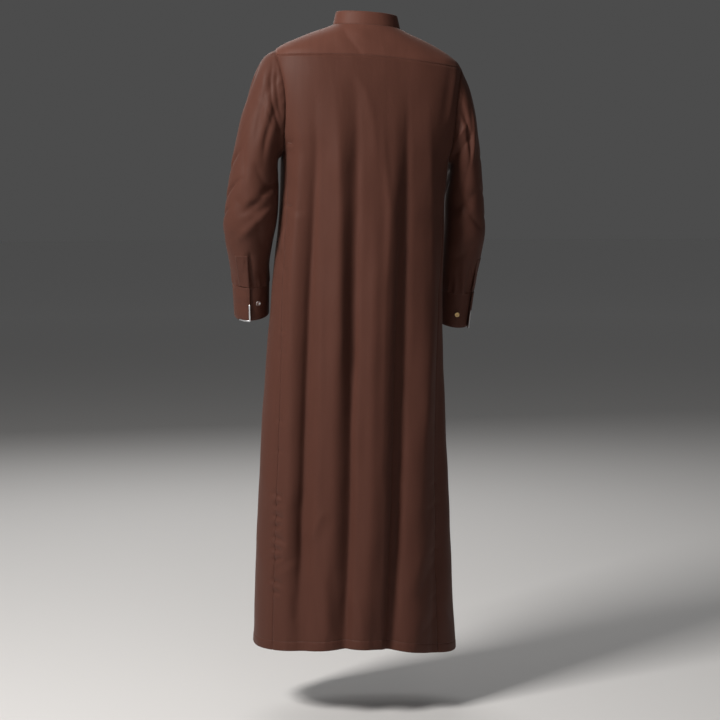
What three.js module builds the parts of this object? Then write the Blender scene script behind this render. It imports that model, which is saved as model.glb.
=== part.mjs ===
import * as THREE from 'three';

// An ankle-length robe with a band collar, in the hollow form it has when worn. Millimetres, +Z up.
// The front faces -Y and the wearer's left is +X. The origin is the middle of the neck base, where
// the shoulders carry the cloth. Every piece is a thin closed wall on one of three moulds: the body,
// a sleeve, or a cuff. A place on the body is a turn in degrees, 0 at centre back, 90 at the wearer's
// left and 180 at centre front, and a level, the height before the robe's own lean is added.

const wall = 1.5;        // thickness of each cut piece
const seamInset = 0.17;  // each side of a seam stands back by this
const layerGap = 0.6;    // between a strip and the piece that it lies on
const trimWall = 0.8;    // thickness of the metal edging
const degree = Math.PI / 180;

const robeLength = 1370;
const shoulderLevel = -66;
const underarmLevel = -290;
const collarHeight = 29;
const collarLap = 7;     // degrees past centre front at each end of the band
const studRadius = 5.5;
const studHeight = 3.2;

const colours = {
  cloth: { color: 0x5b3b31, roughness: 0.55, metalness: 0 },
  silver: { color: 0xb9bcc0, roughness: 0.3, metalness: 1 },
  brass: { color: 0xb08b4c, roughness: 0.35, metalness: 1 },
};

// Level sections of the body: half width, reach behind and before the middle, place of the middle,
// how square the section is, and how far it leans for each millimetre to the wearer's left.
const bodySections = [
  { level: -robeLength, half: 232, back: 150, front: 164, x: 26, y: -4, square: 2.05, lean: 0.055, drop: 24 },
  { level: -1270, half: 227, back: 145, front: 158, x: 27, y: -4, square: 2.1, lean: 0.05, drop: 18 },
  { level: -1050, half: 216, back: 134, front: 148, x: 28, y: -3, square: 2.15, lean: 0.04, drop: 8 },
  { level: -830, half: 205, back: 125, front: 140, x: 27, y: -2, square: 2.2, lean: 0.035, drop: 2 },
  { level: -610, half: 192, back: 119, front: 134, x: 22, y: 0, square: 2.3, lean: 0.03, drop: 0 },
  { level: -500, half: 188, back: 117, front: 131, x: 16, y: 0, square: 2.35, lean: 0.03, drop: 0 },
  { level: -390, half: 183, back: 118, front: 130, x: 9, y: 0, square: 2.4, lean: 0.03, drop: 0 },
  { level: underarmLevel, half: 186, back: 120, front: 129, x: 4, y: 0, square: 2.5, lean: 0.032, drop: 0 },
  { level: -240, half: 200, back: 118, front: 126, x: 2, y: 0, square: 2.55, lean: 0.038, drop: 0 },
  { level: -180, half: 212, back: 112, front: 118, x: 0, y: 0, square: 2.6, lean: 0.046, drop: 0 },
  { level: -120, half: 217, back: 103, front: 102, x: 0, y: 0, square: 2.6, lean: 0.055, drop: 0 },
  { level: -82, half: 213, back: 93, front: 88, x: 0, y: 0, square: 2.6, lean: 0.06, drop: 0 },
  { level: shoulderLevel, half: 205, back: 88, front: 81, x: 0, y: 0, square: 2.6, lean: 0.06, drop: 0 },
  { level: -52, half: 187, back: 83, front: 75, x: 0, y: 0, square: 2.5, lean: 0.06, drop: 0 },
  { level: -38, half: 161, back: 78, front: 69, x: 0, y: 0, square: 2.4, lean: 0.06, drop: 0 },
  { level: -24, half: 131, back: 72, front: 64, x: 0, y: 0, square: 2.3, lean: 0.06, drop: 0 },
  { level: -11, half: 99, back: 66, front: 60, x: 0, y: 0, square: 2.2, lean: 0.06, drop: 0 },
  { level: 0, half: 74, back: 60, front: 56, x: 0, y: 0, square: 2.1, lean: 0.06, drop: 0 },
];
const neckFrontDip = 30;   // the neck is this much lower at centre front
const neckDipDepth = 90;   // and the dip is gone this far below the neck

// Long soft folds: the turn each runs at from chest to hem, its rise at the hem (below nought is a
// hollow), its half width in degrees, and the levels where it starts and is full.
const bodyFolds = [
  { chest: 47, hip: 48, knee: 48, hem: 50, rise: -9, spread: 6, starts: -250, full: -1150 },
  { chest: 36, hip: 29, knee: 27, hem: 34, rise: 5, spread: 7, starts: -200, full: -900 },
  { chest: 25, hip: 16, knee: 14, hem: 19, rise: -14, spread: 6, starts: -110, full: -900 },
  { chest: 3, hip: -7, knee: -7, hem: 2, rise: 9, spread: 9, starts: -90, full: -800 },
  { chest: -31, hip: -35, knee: -31, hem: -22, rise: -17, spread: 6.5, starts: -160, full: -950 },
  { chest: -44, hip: -54, knee: -51, hem: -37, rise: 7, spread: 8, starts: -200, full: -900 },
  { chest: -64, hip: -71, knee: -68, hem: -57, rise: -8, spread: 6, starts: -260, full: -1100 },
  { chest: 118, hip: 124, knee: 121, hem: 119, rise: -8, spread: 6, starts: -280, full: -1100 },
  { chest: 138, hip: 143, knee: 146, hem: 143, rise: -15, spread: 7, starts: -180, full: -1000 },
  { chest: 158, hip: 160, knee: 164, hem: 160, rise: 6, spread: 8, starts: -450, full: -1000 },
  { chest: 182, hip: 181, knee: 179, hem: 176, rise: -10, spread: 6, starts: -520, full: -1100 },
  { chest: 212, hip: 207, knee: 205, hem: 209, rise: -16, spread: 7, starts: -200, full: -1000 },
  { chest: 233, hip: 238, knee: 236, hem: 231, rise: -8, spread: 6, starts: -300, full: -1150 },
];
const foldLevels = { chest: -200, hip: -600, knee: -1000, hem: -robeLength };

// The armhole is an oval on the body about the wearer's side.
const armhole = { turn: 90, halfTurn: 19, level: (shoulderLevel + underarmLevel) / 2, halfLevel: 112 };
// Where the pieces meet round the armhole, in degrees from its top by way of the back.
const armholeJoins = { yokeFront: -22, yokeBack: 28, sideBack: 150, sideFront: 210 };
const armholeSteps = { yoke: 6, back: 9, side: 5, front: 9 };

// Sleeve sections from the shoulder down: the points furthest from and nearest to the body, how far
// forward the middle lies, the half depth, and the slant of the section from front to back.
const sleeveSections = {
  left: [
    { outX: 229, outZ: -70, inX: 197, inZ: -288, y: 0, deep: 69, slant: 0 },
    { outX: 249, outZ: -104, inX: 200, inZ: -294, y: 0, deep: 71, slant: 0 },
    { outX: 268, outZ: -160, inX: 201, inZ: -302, y: -1, deep: 72, slant: 0 },
    { outX: 285, outZ: -220, inX: 201, inZ: -314, y: -1, deep: 70, slant: 0 },
    { outX: 299, outZ: -285, inX: 200, inZ: -332, y: -1, deep: 67, slant: 0 },
    { outX: 309, outZ: -345, inX: 200, inZ: -360, y: 0, deep: 64, slant: 0 },
    { outX: 317, outZ: -400, inX: 202, inZ: -402, y: -2, deep: 61, slant: 0.03 },
    { outX: 320, outZ: -440, inX: 206, inZ: -438, y: -8, deep: 59, slant: 0.1 },
    { outX: 313, outZ: -482, inX: 211, inZ: -474, y: -21, deep: 55, slant: 0.2 },
    { outX: 303, outZ: -527, inX: 216, inZ: -517, y: -40, deep: 51, slant: 0.27 },
    { outX: 296, outZ: -568, inX: 214, inZ: -562, y: -56, deep: 47, slant: 0.27 },
  ],
  right: [
    { outX: 214, outZ: -92, inX: 189, inZ: -299, y: 0, deep: 70, slant: 0 },
    { outX: 231, outZ: -128, inX: 191, inZ: -304, y: -2, deep: 73, slant: 0 },
    { outX: 245, outZ: -184, inX: 191.5, inZ: -311, y: -6, deep: 76, slant: 0 },
    { outX: 254, outZ: -240, inX: 191.5, inZ: -321, y: -11, deep: 77, slant: 0 },
    { outX: 261, outZ: -300, inX: 190, inZ: -334, y: -16, deep: 75, slant: 0.04 },
    { outX: 267, outZ: -355, inX: 189, inZ: -362, y: -19, deep: 70, slant: 0.06 },
    { outX: 273, outZ: -410, inX: 188, inZ: -408, y: -22, deep: 65, slant: 0.1 },
    { outX: 276, outZ: -452, inX: 187, inZ: -446, y: -27, deep: 61, slant: 0.16 },
    { outX: 272, outZ: -495, inX: 185, inZ: -487, y: -38, deep: 56, slant: 0.22 },
    { outX: 266, outZ: -538, inX: 184, inZ: -530, y: -52, deep: 51, slant: 0.26 },
    { outX: 259, outZ: -586, inX: 183, inZ: -580, y: -66, deep: 47, slant: 0.26 },
  ],
};
// Drag folds and elbow creases: each runs from one place to another on its sleeve, where round is
// degrees about the sleeve (0 outside, 90 behind) and along counts sections from the armhole.
const sleeveFolds = {
  left: [
    { round: 62, along: 0.4, toRound: 70, toAlong: 4.2, rise: -7, spread: 9 },
    { round: 96, along: 0.8, toRound: 96, toAlong: 4.6, rise: -6, spread: 8 },
    { round: 150, along: 5.4, toRound: 70, toAlong: 7.2, rise: -6, spread: 14 },
    { round: 140, along: 6.6, toRound: 60, toAlong: 8.6, rise: 5, spread: 14 },
    { round: 255, along: 0.8, toRound: 285, toAlong: 4.4, rise: -6, spread: 10 },
    { round: 300, along: 7.6, toRound: 215, toAlong: 8.4, rise: -6, spread: 14 },
  ],
  right: [
    { round: 84, along: 0.6, toRound: 88, toAlong: 4.4, rise: -6, spread: 8 },
    { round: 50, along: 2.2, toRound: 84, toAlong: 4.6, rise: 5, spread: 9 },
    { round: 130, along: 6.2, toRound: 50, toAlong: 7.8, rise: -5, spread: 14 },
    { round: 262, along: 0.8, toRound: 290, toAlong: 4.4, rise: -6, spread: 10 },
    { round: 300, along: 7.4, toRound: 220, toAlong: 8.3, rise: -6, spread: 14 },
  ],
};

// Cuffs: the bottom section, where the outer lap ends and the stud stands, in degrees about the wrist,
// and the share of the cuff's depth above the stud. A cuff's top section is the end of its sleeve.
const cuffs = {
  left: {
    bottom: { outX: 290, outZ: -642, inX: 213, inZ: -634, y: -75, deep: 46, slant: 0.27 },
    lapEnd: 80,
    studRound: 104,
    studDown: 0.48,
    stud: 'silver',
  },
  right: {
    bottom: { outX: 252, outZ: -664, inX: 181, inZ: -658, y: -84, deep: 46, slant: 0.26 },
    lapEnd: 50,
    studRound: 94,
    studDown: 0.6,
    stud: 'brass',
  },
};
const cuffSeam = 0.25;       // more room between sleeve and cuff than the seam line gives
const cuffOverlap = 34;      // degrees that the under lap runs on beneath the outer one
const cuffLift = 5;          // the free edge of the outer lap stands off by this
const edging = { width: 3.2, alongHem: 38, from: 0.48 };
const sleevePlacket = { width: 36, from: 9.3, to: 10.9 };   // degrees wide; sections from and to
const frontPlacket = { half: 17, levelRows: 3 };   // half width; rows that it covers below the armhole
const yokeRise = 9;          // the back seam of the yoke is this much higher at centre back
const yokeFrontColumns = 4;  // columns of the front panel that its shoulder seam spans

const rowLevels = [-343, -411, -479, -547, -615, -683, -751, -819, -887, -955, -1023, -1091, -1159,
  -1227, -1295, -1370];
const halfColumns = 16;      // columns of a panel from its middle to one side

// Side seams of the back panel: the turn of each, by level.
const sideSeams = {
  left: [
    { level: -robeLength, back: 68.5, front: 113 },
    { level: -830, back: 69, front: 110 },
    { level: -600, back: 73, front: 107 },
    { level: -400, back: 76, front: 103 },
    { level: -280, back: 80.5, front: 99.5 },
  ],
  right: [
    { level: -robeLength, back: 61, front: 114 },
    { level: -830, back: 67.5, front: 111 },
    { level: -600, back: 71, front: 107 },
    { level: -400, back: 76, front: 103 },
    { level: -280, back: 80.5, front: 99.5 },
  ],
};
const sides = { left: 1, right: -1 };

// A smooth value from a table: no overshoot between its rows.
function read(table, key, at, column) {
  const last = table.length - 1;
  const place = Math.min(Math.max(at, table[0][key]), table[last][key]);
  let i = 0;
  while (i < last - 1 && table[i + 1][key] < place) i += 1;
  const rate = (j) => (table[j + 1][column] - table[j][column]) / (table[j + 1][key] - table[j][key]);
  const slope = (j) => {
    if (j === 0) return rate(0);
    if (j === last) return rate(last - 1);
    const before = rate(j - 1);
    const after = rate(j);
    return before * after <= 0 ? 0 : (2 * before * after) / (before + after);
  };
  const span = table[i + 1][key] - table[i][key];
  const t = (place - table[i][key]) / span;
  const from = table[i][column] * (2 * t ** 3 - 3 * t ** 2 + 1) + slope(i) * span * (t ** 3 - 2 * t ** 2 + t);
  const to = table[i + 1][column] * (3 * t ** 2 - 2 * t ** 3) + slope(i + 1) * span * (t ** 3 - t ** 2);
  return from + to;
}

function ease(from, to, at) {
  const t = Math.min(Math.max((at - from) / (to - from), 0), 1);
  return t * t * (3 - 2 * t);
}

function around(turn) {
  return ((turn % 360) + 360) % 360;
}

// The turn of a fold at a level, from the four places named in its row.
function foldTurn(fold, level) {
  const places = Object.keys(foldLevels).map((name) => ({ level: foldLevels[name], turn: fold[name] }));
  return read(places.reverse(), 'level', level, 'turn');
}

function bodyFold(turn, level) {
  let rise = 0;
  for (const fold of bodyFolds) {
    const away = around(turn - foldTurn(fold, level) + 180) - 180;
    rise += fold.rise * ease(fold.starts, fold.full, level) * Math.exp(-((away / fold.spread) ** 2));
  }
  return rise;
}

// The body's outside at a turn and level.
function body(turn, level) {
  const at = (column) => read(bodySections, 'level', level, column);
  const s = Math.sin(turn * degree);
  const c = Math.cos(turn * degree);
  const reach = c >= 0 ? at('back') : at('front');
  const power = at('square');
  const radius = ((Math.abs(s) / at('half')) ** power + (Math.abs(c) / reach) ** power) ** (-1 / power);
  const out = radius + bodyFold(turn, level);
  const x = at('x') + out * s;
  const y = at('y') + out * c;
  const dip = neckFrontDip * (Math.max(-c, 0) ** 1.6) * (1 - ease(0, -neckDipDepth, level));
  return new THREE.Vector3(x, y, level + at('lean') * x - at('drop') * s * s - dip);
}

function unit(surface, a, b, stepA, stepB) {
  const alongA = surface(a + stepA, b).sub(surface(a - stepA, b));
  const alongB = surface(a, b + stepB).sub(surface(a, b - stepB));
  return alongB.cross(alongA).normalize();
}

// A place on the body with its outward direction, moved out by a distance.
function onBody(turn, level, out = 0) {
  const inside = Math.min(Math.max(level, 1 - robeLength), -1);
  const normal = unit(body, turn, inside, 0.5, 1);
  return { point: body(turn, level).addScaledVector(normal, out), normal };
}

function armholePlace(side, round) {
  return {
    round,
    turn: sides[side] * (armhole.turn - armhole.halfTurn * Math.sin(round * degree)),
    level: armhole.level + armhole.halfLevel * Math.cos(round * degree),
  };
}

// A point on one section of a sleeve or cuff.
function onSection(side, section, round) {
  const c = Math.cos(round * degree);
  const s = Math.sin(round * degree);
  const x = (section.outX + section.inX) / 2 + ((section.outX - section.inX) / 2) * c;
  const z = (section.outZ + section.inZ) / 2 + ((section.outZ - section.inZ) / 2) * c;
  return new THREE.Vector3(sides[side] * x, section.y + section.deep * s, z - section.slant * section.deep * s);
}

function sleeveRing(side, round, index) {
  if (index === 0) {
    const place = armholePlace(side, round);
    return body(place.turn, place.level);
  }
  return onSection(side, sleeveSections[side][index - 1], round);
}

function sleeveFold(side, round, along) {
  let rise = 0;
  for (const fold of sleeveFolds[side]) {
    const share = (along - fold.along) / (fold.toAlong - fold.along);
    const centre = fold.round + (fold.toRound - fold.round) * share;
    const away = around(round - centre + 180) - 180;
    const ends = ease(-0.15, 0.3, share) * ease(1.15, 0.7, share);
    rise += fold.rise * ends * Math.exp(-((away / fold.spread) ** 2));
  }
  return rise;
}

// The sleeve's outside: a smooth curve through its sections at one place round it.
function sleeve(side, round, along) {
  const last = sleeveSections[side].length;
  const i = Math.min(Math.max(Math.floor(along), 0), last - 1);
  const t = along - i;
  const [before, from, to, after] = [i - 1, i, i + 1, i + 2].map((index) => (
    sleeveRing(side, round, Math.min(Math.max(index, 0), last))));
  const startPull = i === 0 ? to.clone().sub(from) : to.clone().sub(before).multiplyScalar(0.5);
  const endPull = i === last - 1 ? to.clone().sub(from) : after.clone().sub(from).multiplyScalar(0.5);
  const point = from.clone().multiplyScalar(2 * t ** 3 - 3 * t ** 2 + 1)
    .addScaledVector(startPull, t ** 3 - 2 * t ** 2 + t)
    .addScaledVector(to, 3 * t ** 2 - 2 * t ** 3)
    .addScaledVector(endPull, t ** 3 - t ** 2);
  const outward = new THREE.Vector3(sides[side] * Math.cos(round * degree), Math.sin(round * degree), 0);
  return point.addScaledVector(outward, sleeveFold(side, round, along));
}

function onSleeve(side, round, along, out = 0) {
  const inside = Math.min(Math.max(along, 0.1), sleeveSections[side].length - 0.05);
  const normal = unit((a, b) => sleeve(side, a, b), round, inside, 1, 0.05).multiplyScalar(sides[side]);
  return { point: sleeve(side, round, along).addScaledVector(normal, out), normal };
}

// A place on the armhole seam. Its outward direction halves the bend between body and sleeve, so
// that the edges of both meet face to face.
function onArmhole(side, round) {
  const place = armholePlace(side, round);
  const { point, normal } = onBody(place.turn, place.level);
  return { point, normal: normal.add(onSleeve(side, round, 0).normal).normalize() };
}

// A place on a cuff, counted on past a full turn where it laps over its own start.
function cuffOut(side, round) {
  const end = cuffs[side].lapEnd + 360;
  return (wall + layerGap) * ease(end - cuffOverlap - 40, end - cuffOverlap - 4, round)
    + (cuffLift - wall - layerGap) * ease(end - cuffOverlap, end, round);
}

function cuffTop(side) {
  const end = sleeveSections[side].at(-1);
  return { ...end, outZ: end.outZ - cuffSeam, inZ: end.inZ - cuffSeam };
}

function onCuff(side, round, down, out = 0) {
  const top = cuffTop(side);
  const { bottom } = cuffs[side];
  const from = onSection(side, top, round);
  const to = onSection(side, bottom, round);
  const [behind, ahead] = [round - 1, round + 1].map((place) => (
    onSection(side, top, place).lerp(onSection(side, bottom, place), down)));
  const normal = to.clone().sub(from).cross(ahead.sub(behind)).normalize().multiplyScalar(sides[side]);
  const point = from.lerp(to, down).addScaledVector(normal, cuffOut(side, round) + out);
  return { point, normal };
}

// A place on the collar band, a share of its height up. The band closes inward as it rises.
const collarClosing = 0.09;
function onCollar(turn, rise, out = 0) {
  const base = body(turn, 0);
  const normal = new THREE.Vector3(Math.sin(turn * degree), Math.cos(turn * degree), collarClosing).normalize();
  const lap = (wall + layerGap) * ease(180 - collarLap - 22, 180 - collarLap - 3, turn);
  const point = base.multiply(new THREE.Vector3(1 - collarClosing * rise, 1 - collarClosing * rise, 1));
  point.z += layerGap + collarHeight * rise;
  return { point: point.addScaledVector(normal, lap + out), normal };
}

// A closed wall from rows of places: its outside on the places, its inside a wall's thickness in.
// Each open edge stands back from the seam line by seamInset.
function clothWall({ rows, thickness = wall, inset = seamInset, tube = false }) {
  const points = rows.map((row) => row.map((place) => place.point.clone()));
  const lastRow = rows.length - 1;
  const lastColumn = rows[0].length - 1;
  const draw = (i, j, towardI, towardJ) => {
    const pull = rows[towardI][towardJ].point.clone().sub(rows[i][j].point);
    points[i][j].addScaledVector(pull.normalize(), inset);
  };
  for (let j = 0; j <= lastColumn; j += 1) {
    draw(0, j, 1, j);
    draw(lastRow, j, lastRow - 1, j);
  }
  for (let i = 0; i <= lastRow && !tube; i += 1) {
    draw(i, 0, i, 1);
    draw(i, lastColumn, i, lastColumn - 1);
  }
  const positions = [];
  for (const depth of [0, -thickness]) {
    rows.forEach((row, i) => row.forEach((place, j) => {
      positions.push(...points[i][j].clone().addScaledVector(place.normal, depth).toArray());
    }));
  }
  const width = lastColumn + 1;
  const inner = width * rows.length;
  const faces = [];
  const quad = (a, b, c, d) => faces.push(a, b, c, a, c, d);
  const columns = tube ? width : lastColumn;
  const next = (j) => (j + 1) % width;
  for (let i = 0; i < lastRow; i += 1) {
    for (let j = 0; j < columns; j += 1) {
      const corners = [i * width + j, i * width + next(j), (i + 1) * width + next(j), (i + 1) * width + j];
      quad(...corners);
      quad(...corners.map((corner) => corner + inner).reverse());
    }
  }
  for (let j = 0; j < columns; j += 1) {
    const end = lastRow * width;
    quad(j + inner, next(j) + inner, next(j), j);
    quad(end + j, end + next(j), end + next(j) + inner, end + j + inner);
  }
  for (let i = 0; i < lastRow && !tube; i += 1) {
    const start = i * width;
    const end = start + lastColumn;
    quad(start, start + width, start + width + inner, start + inner);
    quad(end, end + inner, end + width + inner, end + width);
  }
  return outward(positions, faces);
}

// A geometry whose faces point out, whichever way its rows ran.
function outward(positions, faces) {
  const corner = (k) => new THREE.Vector3(...positions.slice(3 * k, 3 * k + 3));
  let volume = 0;
  for (let k = 0; k < faces.length; k += 3) {
    volume += corner(faces[k]).dot(corner(faces[k + 1]).cross(corner(faces[k + 2])));
  }
  const geometry = new THREE.BufferGeometry();
  geometry.setAttribute('position', new THREE.Float32BufferAttribute(positions, 3));
  geometry.setIndex(volume > 0 ? faces : faces.slice().reverse());
  return geometry;
}

function spread(from, to, steps) {
  return Array.from({ length: steps + 1 }, (_, k) => from + ((to - from) * k) / steps);
}

// The top edge of the back panel, the yoke's back seam.
function yokeSeam(turn) {
  const end = armholePlace('left', armholeJoins.yokeBack);
  return end.level + yokeRise * (1 - (turn / end.turn) ** 2);
}

// Where the front shoulder seam ends: at the armhole and at the neck.
function frontSeam() {
  const end = armholePlace('left', armholeJoins.yokeFront);
  const step = (180 - end.turn) / halfColumns;
  return { end, step, neckTurn: end.turn + yokeFrontColumns * step };
}

// The top edge of the front panel: shoulder seam, neck, shoulder seam.
function frontTop(turn) {
  const { end, neckTurn } = frontSeam();
  const share = (180 - Math.abs(turn - 180) - end.turn) / (neckTurn - end.turn);
  return end.level * (1 - Math.min(share, 1));
}

// Places down one edge of a panel: round the armhole, then down the side seam.
function panelEdge(side, face) {
  const [from, to, steps] = face === 'back'
    ? [armholeJoins.yokeBack, armholeJoins.sideBack, armholeSteps.back]
    : [360 + armholeJoins.yokeFront, armholeJoins.sideFront, armholeSteps.front];
  const edge = spread(from, to, steps).map((round) => armholePlace(side, round));
  for (const level of rowLevels) {
    edge.push({ turn: sides[side] * read(sideSeams[side], 'level', level, face), level });
  }
  return edge;
}

// How much a row still follows the shape of its panel's top edge.
function topHold(row, easedRows) {
  return 1 - ease(0, easedRows, row);
}

// A panel between two edges, with a shaped top edge that eases to level rows.
function panel(leftEdge, rightEdge, topEdge, easedRows) {
  const rows = leftEdge.map((left, i) => {
    const right = rightEdge[i];
    const hold = topHold(i, easedRows);
    return spread(left.turn, right.turn, halfColumns * 2).map((turn, j) => {
      if (left.round !== undefined && j === 0) return onArmhole('left', left.round);
      if (left.round !== undefined && j === halfColumns * 2) return onArmhole('right', right.round);
      const level = left.level + ((right.level - left.level) * j) / (halfColumns * 2);
      const topTurn = leftEdge[0].turn + ((rightEdge[0].turn - leftEdge[0].turn) * j) / (halfColumns * 2);
      return onBody(turn, level + (topEdge(topTurn) - leftEdge[0].level) * hold);
    });
  });
  return clothWall({ rows });
}

function backPanel() {
  return panel(panelEdge('left', 'back'), panelEdge('right', 'back'), yokeSeam, armholeSteps.back);
}

function frontPanel() {
  const right = panelEdge('right', 'front').map((place) => ({ ...place, turn: place.turn + 360 }));
  return panel(panelEdge('left', 'front'), right, frontTop, armholeSteps.front);
}

// The gore under an arm: its top follows the bottom of the armhole.
function sidePanel(side) {
  const { sideBack, sideFront } = armholeJoins;
  const top = spread(sideBack, sideFront, armholeSteps.side).map((round) => armholePlace(side, round));
  const rows = [top, ...rowLevels.map((level) => {
    const [back, front] = ['back', 'front'].map((face) => read(sideSeams[side], 'level', level, face));
    return spread(back, front, armholeSteps.side).map((turn) => ({ turn: sides[side] * turn, level }));
  })];
  return clothWall({ rows: rows.map((row) => row.map((place) => (
    place.round === undefined ? onBody(place.turn, place.level) : onArmhole(side, place.round)))) });
}

// The yoke runs over both shoulders from the back seam to the neck and the front shoulder seams.
function yoke() {
  const rounds = spread(armholeJoins.yokeBack, armholeJoins.yokeFront, armholeSteps.yoke);
  const seamEnd = armholePlace('left', armholeJoins.yokeBack);
  const { end: frontEnd, step, neckTurn } = frontSeam();
  const place = (column, share) => {
    const side = column < 0 ? -1 : 1;
    const u = Math.abs(column) / halfColumns;
    if (u === 1) return onArmhole(side < 0 ? 'right' : 'left', rounds[Math.round(share * armholeSteps.yoke)]);
    const start = { turn: seamEnd.turn * u, level: yokeSeam(seamEnd.turn * u) };
    const neckColumns = halfColumns - yokeFrontColumns;
    const onSeam = Math.max(Math.abs(column) - neckColumns, 0);
    const end = onSeam > 0
      ? { turn: neckTurn - onSeam * step, level: frontTop(neckTurn - onSeam * step) }
      : { turn: (neckTurn * Math.abs(column)) / neckColumns, level: 0 };
    const sleeveEdge = armholePlace('left', rounds[Math.round(share * armholeSteps.yoke)]);
    const straight = { turn: seamEnd.turn + (frontEnd.turn - seamEnd.turn) * share,
      level: seamEnd.level + (frontEnd.level - seamEnd.level) * share };
    const turn = start.turn + (end.turn - start.turn) * share + (sleeveEdge.turn - straight.turn) * u;
    const level = start.level + (end.level - start.level) * share + (sleeveEdge.level - straight.level) * u;
    return onBody(side * turn, level);
  };
  const rows = spread(0, 1, armholeSteps.yoke).map((share) => (
    spread(-halfColumns, halfColumns, halfColumns * 2).map((column) => place(column, share))));
  return clothWall({ rows });
}

// Places round the sleeve, stepped as the pieces of the armhole are.
function sleeveRounds() {
  const { yokeFront, yokeBack, sideBack, sideFront } = armholeJoins;
  return [
    ...spread(yokeFront, yokeBack, armholeSteps.yoke).slice(0, -1),
    ...spread(yokeBack, sideBack, armholeSteps.back).slice(0, -1),
    ...spread(sideBack, sideFront, armholeSteps.side).slice(0, -1),
    ...spread(sideFront, 360 + yokeFront, armholeSteps.front).slice(0, -1),
  ];
}

function sleeveTube(side) {
  const stops = [0, 0.5, ...spread(1, sleeveSections[side].length, 12)];
  return clothWall({
    rows: stops.map((along) => sleeveRounds().map((round) => (
      along === 0 ? onArmhole(side, round) : onSleeve(side, round, along)))),
    tube: true,
  });
}

function cuffBand(side) {
  const { lapEnd } = cuffs[side];
  const rounds = spread(lapEnd - cuffOverlap, lapEnd + 360, 46);
  return clothWall({ rows: [0, 0.5, 1].map((down) => rounds.map((round) => onCuff(side, round, down))) });
}

// The strip that finishes the sleeve's slit, lying on the sleeve above the outer lap.
function placketStrip(side) {
  const { width, from, to } = sleevePlacket;
  const edge = cuffs[side].lapEnd;
  const out = wall + layerGap;
  const rows = spread(from, to, 6).map((along) => (
    spread(edge - width, edge, 3).map((round) => onSleeve(side, round, along, out))));
  return clothWall({ rows });
}

// Metal edging: up the free edge of the outer lap, and along the cuff's hem from the same corner.
function cuffEdging(side) {
  const { lapEnd } = cuffs[side];
  const end = lapEnd + 360;
  const acrossTurn = edging.width / cuffs[side].bottom.deep / degree;
  const acrossDown = edging.width / (cuffTop(side).outZ - cuffs[side].bottom.outZ);
  const upright = spread(edging.from, 1, 4).map((down, k) => [
    [end, down],
    [end - acrossTurn, k === 4 ? 1 - acrossDown : down],
  ]);
  const hem = spread(end - acrossTurn, end - edging.alongHem, 4).slice(1).map((round) => [
    [round, 1],
    [round, 1 - acrossDown],
  ]);
  const rows = [0, 1].map((edge) => [...upright, ...hem].map((pair) => (
    onCuff(side, pair[edge][0], pair[edge][1], trimWall + layerGap))));
  return clothWall({ rows, thickness: trimWall });
}

function frontPlacketStrip() {
  const edge = panelEdge('left', 'front').slice(0, armholeSteps.front + 1 + frontPlacket.levelRows);
  const out = wall + layerGap;
  const rows = edge.map((place, i) => {
    const level = place.level - edge[0].level * topHold(i, armholeSteps.front);
    const reach = read(bodySections, 'level', level, 'front');
    const middle = read(bodySections, 'level', level, 'x');
    return spread(-frontPlacket.half, frontPlacket.half, 4).map((x) => (
      onBody(180 - Math.atan2(x - middle, reach) / degree, level, out)));
  });
  return clothWall({ rows });
}

// A low domed stud standing on a place.
function stud(place) {
  const profile = [[0, 0], [0.85, 0], [1, 0.25], [1, 0.55], [0.8, 0.85], [0.45, 0.98], [0, 1]]
    .map(([across, up]) => new THREE.Vector2(across * studRadius, up * studHeight));
  const geometry = new THREE.LatheGeometry(profile, 20);
  const upright = new THREE.Vector3(0, 1, 0);
  geometry.applyQuaternion(new THREE.Quaternion().setFromUnitVectors(upright, place.normal));
  const { x, y, z } = place.point;
  return geometry.translate(x, y, z);
}

const studSeat = 0.6;   // under a stud, so that it stands clear of the flat facets of the cloth
function cuffStud(side) {
  const { studRound, studDown } = cuffs[side];
  return stud(onCuff(side, studRound, studDown, studSeat));
}

function collarBand() {
  const turns = spread(-180 - collarLap, 180 + collarLap, 62);
  return clothWall({ rows: [0, 0.5, 1].map((rise) => turns.map((turn) => onCollar(turn, rise))) });
}

const robe = new THREE.Group();

function add(name, geometry, colour = 'cloth') {
  const mesh = new THREE.Mesh(geometry, new THREE.MeshStandardMaterial(colours[colour]));
  mesh.name = name;
  robe.add(mesh);
}

add('yoke', yoke());
add('back_panel', backPanel());
add('front_panel', frontPanel());
add('collar_band', collarBand());
add('front_placket', frontPlacketStrip());
add('collar_stud', stud(onCollar(180, 0.5, studSeat)), 'silver');
for (const side of ['left', 'right']) {
  add(`side_panel_${side}`, sidePanel(side));
  add(`sleeve_${side}`, sleeveTube(side));
  add(`sleeve_placket_${side}`, placketStrip(side));
  add(`cuff_${side}`, cuffBand(side));
  add(`cuff_edging_${side}`, cuffEdging(side), 'silver');
  add(`cuff_stud_${side}`, cuffStud(side), cuffs[side].stud);
}

export default robe;
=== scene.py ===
import math

import bmesh
import bpy
import numpy as np
from mathutils import Matrix, Vector


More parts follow.
